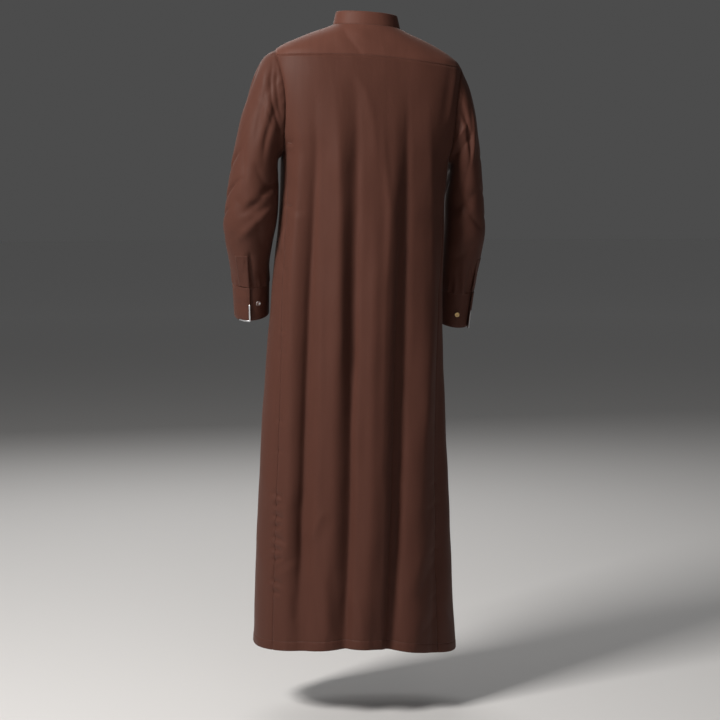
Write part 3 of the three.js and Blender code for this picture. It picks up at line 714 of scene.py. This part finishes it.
# A thin shell on a grid of points in mm, its outside on the points and its cloth coordinates in metres.
def shell(name, points, normals, wall, material, tube=False):
    rows, columns = points.shape[:2]
    mesh = gridMesh(name, columns, rows, 1)
    flat = valuesOf(mesh.vertices, "co", 3)
    column = np.rint((flat[:, 0] + 1) / 2 * (columns - 1)).astype(int)
    row = np.rint((flat[:, 1] + 1) / 2 * (rows - 1)).astype(int)
    mesh.vertices.foreach_set("co", (points[row, column] * mm).ravel())
    distances = edgeDistances(points)
    middle = columns // 2
    across = distances["start"] - distances["start"][:, middle : middle + 1]
    down = distances["top"][:, middle : middle + 1] + np.zeros_like(across)
    cut = np.stack([across, -down], axis=-1)[row, column] * mm
    corners = valuesOf(mesh.loops, "vertex_index", kind=int)
    mesh.uv_layers.new(name="cut").data.foreach_set("uv", cut[corners].ravel())
    mesh.update()
    first = valuesOf(mesh.polygons, "loop_start", kind=int)
    outside = normals[row, column][corners[first]]
    if np.sum(valuesOf(mesh.polygons, "normal", 3) * outside) < 0:
        mesh.flip_normals()
    if tube:
        joined = bmesh.new()
        joined.from_mesh(mesh)
        bmesh.ops.remove_doubles(joined, verts=joined.verts, dist=tubeJoin * mm)
        joined.to_mesh(mesh)
        joined.free()
    smooth(mesh)
    piece = pieceOf(mesh, name, material)
    solid = piece.modifiers.new("wall", "SOLIDIFY")
    solid.thickness = wall * mm
    solid.offset = -1
    return piece


# Short round threads along runs of places, one object for all the runs of a piece.
thread = {"pitch": 3.2, "length": 2.3, "radius": 0.28, "sides": 5, "lift": 0.12}


def stitches(name, runs, pitch=thread["pitch"]):
    work = bmesh.new()
    half = thread["length"] / 2
    for places, normals in runs:
        gaps = np.linalg.norm(np.diff(places, axis=0), axis=1)
        walked = np.concatenate([[0], gaps.cumsum()])
        for k in range(int(walked[-1] / pitch)):
            at = (k + 0.5) * pitch
            start, end, up = [
                np.array([np.interp(place, walked, line[:, axis]) for axis in range(3)])
                for place, line in ((at - half, places), (at + half, places), (at, normals))
            ]
            bmesh.ops.create_cone(
                work,
                cap_ends=True,
                segments=thread["sides"],
                radius1=thread["radius"] * mm,
                radius2=thread["radius"] * mm,
                depth=thread["length"] * mm,
                matrix=standing((start + end) / 2 + up * thread["lift"], end - start),
            )
    return pieceOf(meshFrom(name, work), name, threadLook)


# A round stud turned from a profile, standing on a place.
studShape = {
    "profile": [(0, 0.2), (2.2, 0.25), (2.5, 0.55), (4.5, 0.6), (5, 0.75), (5.5, 0.4), (5.6, -0.3)]
    + [(5.3, -0.9), (3, -1.3), (2.6, -3.2)],
    "lift": 2.6,
    "steps": 48,
    "join": 0.001,
}


def stud(name, place, normal, slot, node):
    work = bmesh.new()
    lift = studShape["lift"]
    line = [work.verts.new((across * mm, 0, (up + lift) * mm)) for across, up in studShape["profile"]]
    for start, end in zip(line[:-1], line[1:]):
        work.edges.new((start, end))
    bmesh.ops.spin(
        work,
        geom=work.verts[:] + work.edges[:],
        cent=(0, 0, 0),
        axis=(0, 0, 1),
        angle=math.tau,
        steps=studShape["steps"],
        use_merge=True,
    )
    bmesh.ops.remove_doubles(work, verts=work.verts, dist=studShape["join"] * mm)
    bmesh.ops.recalc_face_normals(work, faces=work.faces)
    mesh = meshFrom(name, work)
    mesh.transform(standing(place, normal))
    smooth(mesh)
    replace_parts(pieceOf(mesh, name, metals[slot]), node)


# Finishes. The cloth is a satin twill, so it has a soft shine and a fine slanting rib.
clothLook = {
    "shade": (0.07, 0.0275, 0.0195),
    "lit": (0.084, 0.033, 0.0235),
    # Share by which the yoke and collar cloth is lightened: painted light, for the light and sheen these
    # pieces catch from the key light.
    "paintedLight": 1.28,
    "surface": {
        "Roughness": 0.55,
        "Specular IOR Level": 0.09,
        "Sheen Weight": 0.05,
        "Sheen Roughness": 0.45,
        "Sheen Tint": (0.95, 0.72, 0.64, 1),
    },
    "ribs": {"Scale": 900 / math.tau, "Distortion": 0.0},
    "ribSlant": math.radians(62),
    "ribBump": {"Strength": 0.15, "Distance": 0.0002},
    "streaks": (90, 9, 1),
    "streakNoise": {"Scale": 1.0, "Detail": 3.0, "Roughness": 0.6},
    "crumple": (60, 26, 1),
    "crumpleNoise": {"Scale": 1.0, "Detail": 4.0, "Roughness": 0.55},
    "crumpleBump": {"Strength": 0.35, "Distance": 0.0009},
}


def setInputs(node, values):
    for name, value in values.items():
        node.inputs[name].default_value = value


def nodeOf(tree, kind, values=None):
    node = tree.nodes.new("ShaderNode" + kind)
    setInputs(node, values or {})
    return node


def wire(tree, *links):
    for start, outlet, end, inlet in links:
        tree.links.new(start.outputs[outlet], end.inputs[inlet])


def newMaterial(name, surface):
    material = bpy.data.materials.new(name)
    material.use_nodes = True
    shader = material.node_tree.nodes["Principled BSDF"]
    setInputs(shader, surface)
    return material, material.node_tree, shader


# The cloth, with its colours lightened by a share; a share above one paints in the light and sheen that the
# yoke and collar catch from the key light.
def clothMaterial(name, tone):
    material, tree, shader = newMaterial(name, clothLook["surface"])
    place = nodeOf(tree, "UVMap")
    place.uv_map = "cut"
    stretch = nodeOf(tree, "Mapping", {"Scale": clothLook["streaks"]})
    streak = nodeOf(tree, "TexNoise", clothLook["streakNoise"])
    colour = nodeOf(tree, "Mix")
    colour.data_type = "RGBA"
    for inlet, key in (("A", "shade"), ("B", "lit")):
        setInputs(colour, {inlet: (*[part * tone for part in clothLook[key]], 1)})
    slant = nodeOf(tree, "Mapping", {"Rotation": (0, 0, clothLook["ribSlant"])})
    rib = nodeOf(tree, "TexWave", clothLook["ribs"])
    bump = nodeOf(tree, "Bump", clothLook["ribBump"])
    spread = nodeOf(tree, "Mapping", {"Scale": clothLook["crumple"]})
    crumple = nodeOf(tree, "TexNoise", clothLook["crumpleNoise"])
    swell = nodeOf(tree, "Bump", clothLook["crumpleBump"])
    wire(
        tree,
        (place, "UV", spread, "Vector"),
        (spread, "Vector", crumple, "Vector"),
        (crumple, "Fac", swell, "Height"),
        (swell, "Normal", bump, "Normal"),
        (place, "UV", stretch, "Vector"),
        (stretch, "Vector", streak, "Vector"),
        (streak, "Fac", colour, "Factor"),
        (colour, "Result", shader, "Base Color"),
        (place, "UV", slant, "Vector"),
        (slant, "Vector", rib, "Vector"),
        (rib, "Fac", bump, "Height"),
        (bump, "Normal", shader, "Normal"),
    )
    return material


def plainMaterial(name, colour, roughness, metallic=0.0):
    surface = {"Base Color": (*colour, 1), "Roughness": roughness, "Metallic": metallic}
    return newMaterial(name, surface)[0]


cloth = clothMaterial("cloth", 1)
# A lighter copy of the cloth with painted light, for the yoke and collar.
paintedLitCloth = clothMaterial("cloth_painted_lit", clothLook["paintedLight"])
threadLook = plainMaterial("thread", (0.1, 0.046, 0.035), 0.6)
metals = {
    "silver_metal": plainMaterial("silver", (0.62, 0.63, 0.65), 0.28, 1.0),
    "brass_metal": plainMaterial("brass", (0.6, 0.42, 0.2), 0.32, 1.0),
}
clothWall = 1.2

# The cloth pieces made so far, by name.
made = {}


# A piece of cloth: points pushed out by a relief, stitched along runs that are given as parts of its grid.
def clothPiece(name, points, normals, relief, runs, wall=clothWall, material=cloth, tube=False):
    shaped = points + normals * relief[..., None]
    if tube:
        shaped[:, -1] = shaped[:, 0]
    piece = shell(name + "_cloth", shaped, normals, wall, material, tube=tube)
    threads = []
    if runs:
        threads.append(stitches(name + "_stitches", [(shaped[run], normals[run]) for run in runs]))
    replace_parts(piece, name)
    made[name] = {"points": shaped, "normals": normals, "piece": piece, "threads": threads}
    made[name]["cut"] = cutOf(points)
    print("made", name, shaped.shape[0] * shaped.shape[1], "points")


def edgePlaces(side, face, rows):
    first, last = {
        "back": (armholeJoins["yokeBack"], armholeJoins["sideBack"]),
        "front": (360 + armholeJoins["yokeFront"], armholeJoins["sideFront"]),
    }[face]
    turn, level = armholePlace(side, first + (last - first) * np.minimum(rows / armholeRows, 1))
    levels = np.interp(rows, armholeRows + np.arange(len(rowLevels) + 1), [level.min(), *rowLevels])
    seamTurn = sides[side] * read(sideSeams[side], "level", levels, face)
    below = rows > armholeRows
    return np.where(below, seamTurn, turn), np.where(below, levels, level)


def yokeSeam(turn):
    endTurn, endLevel = armholePlace("left", armholeJoins["yokeBack"])
    return endLevel + yokeRise * (1 - (turn / endTurn) ** 2)


def frontSeam():
    endTurn, endLevel = armholePlace("left", armholeJoins["yokeFront"])
    step = (180 - endTurn) / halfColumns
    return endTurn, endLevel, step, endTurn + yokeFrontColumns * step


def frontTop(turn):
    endTurn, endLevel, step, neckTurn = frontSeam()
    share = (180 - np.abs(turn - 180) - endTurn) / (neckTurn - endTurn)
    return endLevel * (1 - np.clip(share, 0, 1))


def panelPlaces(face, topEdge, rows, shares):
    leftTurn, leftLevel = edgePlaces("left", face, rows)
    rightTurn, rightLevel = edgePlaces("right", face, rows)
    if face == "front":
        rightTurn = rightTurn + 360
    hold = (1 - ease(0, armholeRows, rows))[:, None]
    turn = leftTurn[:, None] + (rightTurn - leftTurn)[:, None] * shares
    topTurn = leftTurn[0] + (rightTurn[0] - leftTurn[0]) * shares
    level = leftLevel[:, None] + (rightLevel - leftLevel)[:, None] * shares
    return turn, level + (topEdge(topTurn) - leftLevel[0]) * hold


fineRows = 800


# Rows of a panel at given distances down its first column.
def rowsAt(places, last, distances, columns=(0.5,)):
    fine = np.linspace(0, last, fineRows)
    walked = edgeDistances(body(*places(fine, np.array(columns))))["top"][:, 0]
    return np.interp(np.array(distances) / distances[-1] * walked[-1], walked, fine)


def armholeFade(turn, level):
    reach = (np.abs(wrapped(turn)) - armhole["turn"]) / armhole["halfTurn"]
    away = np.hypot(reach, (level - armhole["level"]) / armhole["halfLevel"])
    return ease(0, armhole["fade"], away - 1)


# A panel of the body between its seams, hemmed below.
def hangingPanel(name, turn, level):
    points, normals = onBody(turn, level)
    distances = edgeDistances(points)
    relief = creased(points, normals, bodyCreases + pocketCreases + puckerLines)
    relief = relief + creased(points, normals, bodyCreases + puckerLines, True, frontShift, frontKeep)
    relief = relief + creased(points, normals, frontCreases, True)
    relief = (relief + unevenness(points)) * armholeFade(turn, level)
    relief = relief + seamValley(distances) + hemRelief(distances)
    clothPiece(name, points, normals, relief, [len(points) - 1 - hemSteps.index(hem["deep"])])


panelSizes = {
    "back": {"length": 1300, "width": 452, "rowStep": 4.6, "columnStep": 3.9},
    "front": {"length": 1350, "width": 480, "rowStep": 5.4, "columnStep": 4.6},
}


def panel(face, topEdge):
    size = panelSizes[face]
    down = stations(size["length"], size["rowStep"], seamSteps, hemSteps)
    across = stations(size["width"], size["columnStep"], seamSteps, seamSteps)

    def places(rows, shares):
        return panelPlaces(face, topEdge, rows, shares)

    rows = rowsAt(places, armholeRows + len(rowLevels), down)
    hangingPanel(face + "_panel", *places(rows, across / size["width"]))


panel("back", yokeSeam)
panel("front", frontTop)


gore = {"length": 1100, "rowStep": 5.4, "columns": 26, "steps": (0, 0.012, 0.03, 0.06), "start": 15}


def sidePanel(side):
    down = stations(gore["length"], gore["rowStep"], seamSteps, hemSteps)
    first, last = armholeJoins["sideBack"], armholeJoins["sideFront"]

    def places(rows, shares):
        levels = np.interp(rows, np.arange(len(rowLevels) + 1), [underarmLevel + gore["start"], *rowLevels])
        topTurn, topLevel = armholePlace("left", first + (last - first) * shares)
        levels = np.where(rows <= 0, topLevel[0], levels)
        back, front = [read(sideSeams[side], "level", levels, face)[:, None] for face in ("back", "front")]
        hold = (1 - ease(0, 1, rows))[:, None]
        bent = (topTurn - topTurn[0]) / (topTurn[-1] - topTurn[0])
        share = shares + (bent - shares) * hold
        turn = sides[side] * (back + (front - back) * share)
        return turn, levels[:, None] + (topLevel - topLevel[0]) * hold

    rows = rowsAt(places, len(rowLevels), down, (0.0, 1.0))
    shares = stations(1, 1 / gore["columns"], gore["steps"], gore["steps"])
    hangingPanel("side_panel_" + side, *places(rows, shares))


sidePanel("left")
sidePanel("right")


yokeSizes = {"length": 130, "width": 430, "rowStep": 2.6, "columnStep": 3, "stitch": 3.4, "fade": 20}


def yokePlaces(rows, shares):
    seamTurn, seamLevel = armholePlace("left", armholeJoins["yokeBack"])
    frontTurn, frontLevel, step, neckTurn = frontSeam()
    first, last = armholeJoins["yokeBack"], armholeJoins["yokeFront"]
    edgeTurn, edgeLevel = armholePlace("left", first + (last - first) * rows)
    u = np.abs(shares)
    neckColumns = halfColumns - yokeFrontColumns
    onSeam = np.maximum(u * halfColumns - neckColumns, 0)
    endTurn = np.where(onSeam > 0, neckTurn - onSeam * step, neckTurn * u * halfColumns / neckColumns)
    endLevel = np.where(onSeam > 0, frontTop(neckTurn - onSeam * step), 0)
    rows = rows[:, None]
    straightTurn = seamTurn + (frontTurn - seamTurn) * rows
    straightLevel = seamLevel + (frontLevel - seamLevel) * rows
    startLevel = yokeSeam(seamTurn * u)
    turn = seamTurn * u + (endTurn - seamTurn * u) * rows + (edgeTurn[:, None] - straightTurn) * u
    level = startLevel + (endLevel - startLevel) * rows + (edgeLevel[:, None] - straightLevel) * u
    return np.sign(shares) * turn, level


def yoke():
    down = stations(yokeSizes["length"], yokeSizes["rowStep"], seamSteps, seamSteps)
    across = stations(yokeSizes["width"], yokeSizes["columnStep"], seamSteps, seamSteps)
    turn, level = yokePlaces(down / yokeSizes["length"], 1 - across / yokeSizes["width"] * 2)
    points, normals = onBody(turn, level)
    relief = creased(points, normals, bodyCreases) + unevenness(points)
    relief = relief * armholeFade(turn, level) * ease(0, yokeSizes["fade"], -level)
    relief = relief + seamValley(edgeDistances(points))
    runs = [seamSteps.index(yokeSizes["stitch"])]
    # The yoke is made in the lighter cloth, whose colour has painted light.
    clothPiece("yoke", points, normals, relief, runs, material=paintedLitCloth)


yoke()


collarSizes = {
    "wall": 2.4,
    "out": 1.1,
    "under": 2,
    "rowStep": 2.2,
    "columns": 190,
    "low": (0, 0.7, 1.6, 2.6, 3.6),
    "high": (0, 0.5, 1.2, 2.6, 3.6),
    "lowRoll": (0.9, 0.4),
    "highRoll": (0.9, 0.9),
    "groove": (0.8, 0.35),
    "inset": 2.6,
    "insetColumn": 2,
    "wave": 0.3,
    "waveTurns": (9, 23),
}


def collarBand():
    under = collarSizes["under"]
    steps = [collarSizes[key] for key in ("rowStep", "low", "high")]
    rises = stations(collar["height"] + under, *steps) - under
    turns = np.linspace(-180 - collar["lap"], 180 + collar["lap"], collarSizes["columns"])
    points, normals = onCollar(turns[None, :], (rises / collar["height"])[:, None], collarSizes["out"])
    distances = edgeDistances(points)
    relief = -bell(distances["bottom"], *collarSizes["highRoll"])
    relief = relief - bell(distances["top"], *collarSizes["lowRoll"])
    relief = relief + edgeRelief(distances, distances, (1, 0), collarSizes["groove"], collarSizes["inset"])
    short, long = collarSizes["waveTurns"]
    relief = relief + collarSizes["wave"] * np.sin(turns / short + 1) * np.sin(turns / long)
    low = collarSizes["low"].index(collarSizes["inset"])
    high = len(rises) - 1 - collarSizes["high"].index(collarSizes["inset"])
    column = collarSizes["insetColumn"]
    runs = [low, high, np.s_[low:high, column], np.s_[low:high, -1 - column]]
    # The collar is made in the lighter cloth, whose colour has painted light.
    clothPiece("collar_band", points, normals, relief, runs, collarSizes["wall"], paintedLitCloth)


collarBand()

placket = {
    "rows": 12,
    "rowStep": 0.13,
    "rowEnds": (0, 0.05),
    "across": [0, 5, 9, 13, 13.8, 15, 16.4, 17.0],
    "out": 2.3,
    "wall": 1.4,
    "roll": (0.8, 0.8),
    "groove": (0.9, 0.35),
    "inset": 3,
}


def frontPlacket():
    place = stations(placket["rows"], placket["rowStep"], placket["rowEnds"], placket["rowEnds"])
    turn, level = edgePlaces("left", "front", place)
    level = level - level[0] * (1 - ease(0, armholeRows, place))
    inset = placket["inset"]
    half = np.array(placket["across"])
    across = np.concatenate([-half[:0:-1], half])
    reach = read(bodySections, "level", level, "front")[:, None]
    middle = read(bodySections, "level", level, "x")[:, None]
    turn = 180 - np.degrees(np.arctan2(across - middle, reach))
    points, normals = onBody(turn, level[:, None] + np.zeros_like(turn), placket["out"])
    relief = -bell(half[-1] - np.abs(across), *placket["roll"])
    relief = relief - bell(np.abs(across) - half[-1 - inset], *placket["groove"])
    relief = relief + creased(points, normals, bodyCreases, True, frontShift, frontKeep)
    relief = relief + creased(points, normals, frontCreases, True) + unevenness(points)
    runs = [np.s_[1:, inset], np.s_[1:, -1 - inset], np.s_[-1 - inset, inset:-inset]]
    clothPiece("front_placket", points, normals, relief, runs, placket["wall"])


frontPlacket()


sleeveSizes = {
    "length": 560,
    "rowStep": 4,
    "columns": 168,
    "cuffSteps": (0, 0.8, 1.8, 3, 5),
    "fade": 16,
    "tuck": (2.2, 1.4),
    "cap": (6, 0.45),
    "capDown": 7,
    "capWave": (24, 1.4, 5),
    "pleat": 1.1,
    "pleatWave": (11, 2, 3),
    "pleatLeast": -0.3,
    "pleatEnds": (45, 3),
}


def sleeveTube(side):
    down = stations(sleeveSizes["length"], sleeveSizes["rowStep"], seamSteps, sleeveSizes["cuffSteps"])
    rounds = np.linspace(0, 360, sleeveSizes["columns"] + 1)
    along = down / sleeveSizes["length"] * sleeveEnd
    points, normals = onSleeve(side, rounds[None, :], along[:, None])
    distances = edgeDistances(points)
    relief = creased(points, normals, sleeveCreases[side] + slitCreases[side]) + unevenness(points)
    relief = relief * ease(0, sleeveSizes["fade"], distances["top"])
    turn = np.radians(rounds)
    cap = bell(distances["top"] - sleeveSizes["capDown"], *sleeveSizes["cap"])
    relief = relief + cap * ripple(turn, *sleeveSizes["capWave"])
    pleat = np.maximum(ripple(turn, *sleeveSizes["pleatWave"]), sleeveSizes["pleatLeast"])
    pleat = sleeveSizes["pleat"] * pleat * ease(*sleeveSizes["pleatEnds"], distances["bottom"])
    relief = relief + pleat
    relief = relief + seamValley(distances, ["top"]) - bell(distances["bottom"], *sleeveSizes["tuck"])
    clothPiece("sleeve_" + side, points, normals, relief, [], tube=True)


cuffSizes = {
    "wall": 1.8,
    "out": 0.9,
    "deep": 75,
    "over": 2.5,
    "rowStep": 3,
    "around": 330,
    "columns": 150,
    "edge": (0, 0.6, 1.5, 2.8, 4, 5.2),
    "roll": (0.9, 0.7),
    "groove": (0.9, 0.35),
    "inset": 4,
}
cuffCreases = {
    "left": [
        (-1.2, 3.5, [(235, 289), (244, 291), (252, 296)]),
        (-0.8, 4, [(236, 300), (242, 306), (249, 309)]),
    ],
    "right": [(-1, 4, [(448, 300), (455, 306), (462, 308)])],
}


def cuffBand(side):
    edge, deep, around = cuffSizes["edge"], cuffSizes["deep"], cuffSizes["around"]
    down = stations(deep + cuffSizes["over"], cuffSizes["rowStep"], edge, edge) - cuffSizes["over"]
    across = stations(around, around / cuffSizes["columns"], edge, edge) / around
    rounds = cuffs[side]["lapEnd"] - cuffLap["overlap"] + (360 + cuffLap["overlap"]) * across
    points, normals = onCuff(side, rounds[None, :], (down / deep)[:, None], cuffSizes["out"])
    distances = edgeDistances(points)
    relief = edgeRelief(distances, distances, cuffSizes["roll"], cuffSizes["groove"], cuffSizes["inset"])
    relief = relief + creased(points, normals, cuffCreases[side])
    at = edge.index(cuffSizes["inset"])
    inner = slice(at, -at)
    runs = [np.s_[at, inner], np.s_[-1 - at, inner], np.s_[inner, at], np.s_[inner, -1 - at]]
    clothPiece("cuff_" + side, points, normals, relief, runs, cuffSizes["wall"])


sleevePlacket = {
    "width": 36,
    "from": 9.3,
    "to": 10.9,
    "rowStep": 0.04,
    "rowEnds": (0, 0.015, 0.04),
    "across": (0, 0.04, 0.1, 0.16, 0.22, 0.4, 0.6, 0.78, 0.84, 0.9, 0.96, 1),
    "out": 2.3,
    "wall": 1.3,
    "lift": 2.6,
    "liftAcross": (0.35, 1),
    "liftDown": (10, 45),
    "roll": (0.8, 0.6),
    "inset": 2,
}


def placketStrip(side):
    shares = np.array(sleevePlacket["across"])
    rounds = cuffs[side]["lapEnd"] - sleevePlacket["width"] * (1 - shares)
    length = sleevePlacket["to"] - sleevePlacket["from"]
    along = stations(length, sleevePlacket["rowStep"], sleevePlacket["rowEnds"], sleevePlacket["rowEnds"])
    along = along + sleevePlacket["from"]
    points, normals = onSleeve(side, rounds[None, :], along[:, None], sleevePlacket["out"])
    distances = edgeDistances(points)
    relief = creased(points, normals, sleeveCreases[side]) + unevenness(points)
    lift = sleevePlacket["lift"] * ease(*sleevePlacket["liftAcross"], shares)
    relief = relief + lift * ease(*sleevePlacket["liftDown"], distances["top"])
    relief = relief + edgeRelief(distances, ("top", "start", "end"), sleevePlacket["roll"])
    at = sleevePlacket["inset"]
    runs = [np.s_[at:, at], np.s_[at:, -1 - at], np.s_[at, at:-at]]
    clothPiece("sleeve_placket_" + side, points, normals, relief, runs, sleevePlacket["wall"])


edging = {
    "width": 3.2,
    "alongHem": 38,
    "from": 0.48,
    "uprightPlaces": 24,
    "hemPlaces": 16,
    "across": (0, 0.12, 0.35, 0.65, 0.88, 1),
    "dome": (0, 0.22, 0.35, 0.35, 0.22, 0),
    "out": 2.1,
    "wall": 0.8,
}


def cuffEdging(side):
    name = "cuff_edging_" + side
    end = cuffs[side]["lapEnd"] + 360
    acrossTurn = math.degrees(edging["width"] / cuffs[side]["bottom"]["deep"])
    acrossDown = edging["width"] / cuffSizes["deep"]
    upright = np.linspace(edging["from"], 1, edging["uprightPlaces"])
    hemTurns = np.linspace(end - acrossTurn, end - edging["alongHem"], edging["hemPlaces"])[1:]
    outer = [(end, down) for down in upright] + [(turn, 1) for turn in hemTurns]
    inner = [(end - acrossTurn, min(down, 1 - acrossDown)) for down in upright]
    inner += [(turn, 1 - acrossDown) for turn in hemTurns]
    shares = np.array(edging["across"])[:, None, None]
    places = np.array(outer)[None] * (1 - shares) + np.array(inner)[None] * shares
    out = edging["out"] + np.array(edging["dome"])[:, None]
    points, normals = onCuff(side, places[..., 0], places[..., 1], out)
    piece = shell(name + "_strip", points, normals, edging["wall"], metals["silver_metal"])
    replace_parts(piece, name)
    print("made", name)


studOut = {"cuff": 1, "collar": 1.2}
for side in sides:
    sleeveTube(side)
    cuffBand(side)
    placketStrip(side)
    cuffEdging(side)
    cuff = cuffs[side]
    place, normal = onCuff(side, cuff["studRound"], cuff["studDown"], studOut["cuff"])
    stud("stud_of_cuff_" + side, place, normal, cuff["stud"], "cuff_stud_" + side)
place, normal = onCollar(180, 0.5, studOut["collar"])
stud("stud_of_collar", place, normal, "silver_metal", "collar_stud")
print("made studs")

# Two bar tacks at the left edge of the back panel: the photo pixels that each runs between.
barTacks = {
    "runs": [((287.5, 143), (292, 143.4)), ((283.5, 205), (291.5, 205.6))],
    "pitch": 1.1,
    "gap": 0.6,
    "places": 9,
    "nearest": 4,
    "softness": 0.05,
}


def barTackRuns(grid):
    spot, facing = inPhoto(grid["points"], grid["normals"])
    points, normals = [grid[key].reshape(-1, 3) for key in ("points", "normals")]
    found = []
    for start, end in barTacks["runs"]:
        for rise in (-barTacks["gap"], 0, barTacks["gap"]):
            places = []
            directions = []
            for share in np.linspace(0, 1, barTacks["places"]):
                goal = np.array(start) * (1 - share) + np.array(end) * share
                away = np.linalg.norm(spot - goal, axis=-1).ravel()
                near = away.argsort()[: barTacks["nearest"]]
                weights = 1 / (away[near] + barTacks["softness"])
                at = (points[near] * weights[:, None]).sum(axis=0) / weights.sum()
                places.append(at + np.array([0, 0, rise]))
                directions.append(normals[near[0]])
            found.append((np.array(places), np.array(directions)))
    return found


tacks = stitches("bar_tacks", barTackRuns(made["back_panel"]), barTacks["pitch"])
made["back_panel"]["threads"].append(tacks)

# A pale floor that grows lighter with distance: the lighter colour far off is painted light, making up for
# the lamps' falloff so that the floor meets the background at the horizon.
floorSizes = {"half": 60, "level": -1.53}
# Floor colour by distance from its middle, lighter far off as painted light.
floorTones = {"From Min": 3.5, "From Max": 15, "To Min": 0.66, "To Max": 0.97}
floorSurface = {"Base Color": (1, 1, 1, 1), "Roughness": 0.9, "Metallic": 0.0, "Specular IOR Level": 0.1}
floorLook, floorTree, floorShader = newMaterial("floor", floorSurface)
floorPlace = nodeOf(floorTree, "TexCoord")
floorReach = nodeOf(floorTree, "VectorMath")
floorReach.operation = "LENGTH"
floorTone = nodeOf(floorTree, "MapRange", floorTones)
wire(
    floorTree,
    (floorPlace, "Object", floorReach, 0),
    (floorReach, "Value", floorTone, "Value"),
    (floorTone, "Result", floorShader, "Base Color"),
)
floorMesh = gridMesh("floor", 2, 2, floorSizes["half"])
floorMesh.materials.append(floorLook)
floor = placed("floor", floorMesh)
floor.location.z = floorSizes["level"]


def aimed(name, data, place, along):
    holder = placed(name, data)
    holder.location = place
    holder.rotation_euler = along.to_track_quat("-Z", "Y").to_euler()
    return holder


# The key light stands at the left of the view, a weak fill behind the camera, and one beyond the robe.
lights = {
    "key": {"place": (2.3, 1.5, 1.5), "size": 0.9, "power": 160, "colour": (1, 0.96, 0.92)},
    "fill": {"place": (-0.6, 4.2, 0.6), "size": 1.6, "power": 9, "colour": (1, 0.98, 0.96)},
    "front": {"place": (0.3, -3, 1.7), "size": 3, "power": 65, "colour": (1, 0.98, 0.96)},
}
lightAim = Vector((0, 0, -0.4))
for name, values in lights.items():
    lamp = bpy.data.lights.new(name, "AREA")
    lamp.energy = values["power"]
    lamp.size = values["size"]
    lamp.color = values["colour"]
    aimed(name, lamp, values["place"], lightAim - Vector(values["place"]))

worldLook = {"Color": (0.8, 0.8, 0.8, 1), "Strength": 0.09}
world = bpy.data.worlds.new("studio")
world.use_nodes = True
setInputs(world.node_tree.nodes["Background"], worldLook)
bpy.context.scene.world = world

lens = bpy.data.cameras.new("photo")
lens.lens = photoView["lens"]
lens.sensor_width = photoView["sensor"]
cameraPlace = Vector(photoView["place"])
camera = aimed("photo", lens, cameraPlace * mm, Vector(photoView["aim"]) - cameraPlace)
bpy.context.scene.camera = camera
bpy.context.scene.view_settings.view_transform = "Standard"
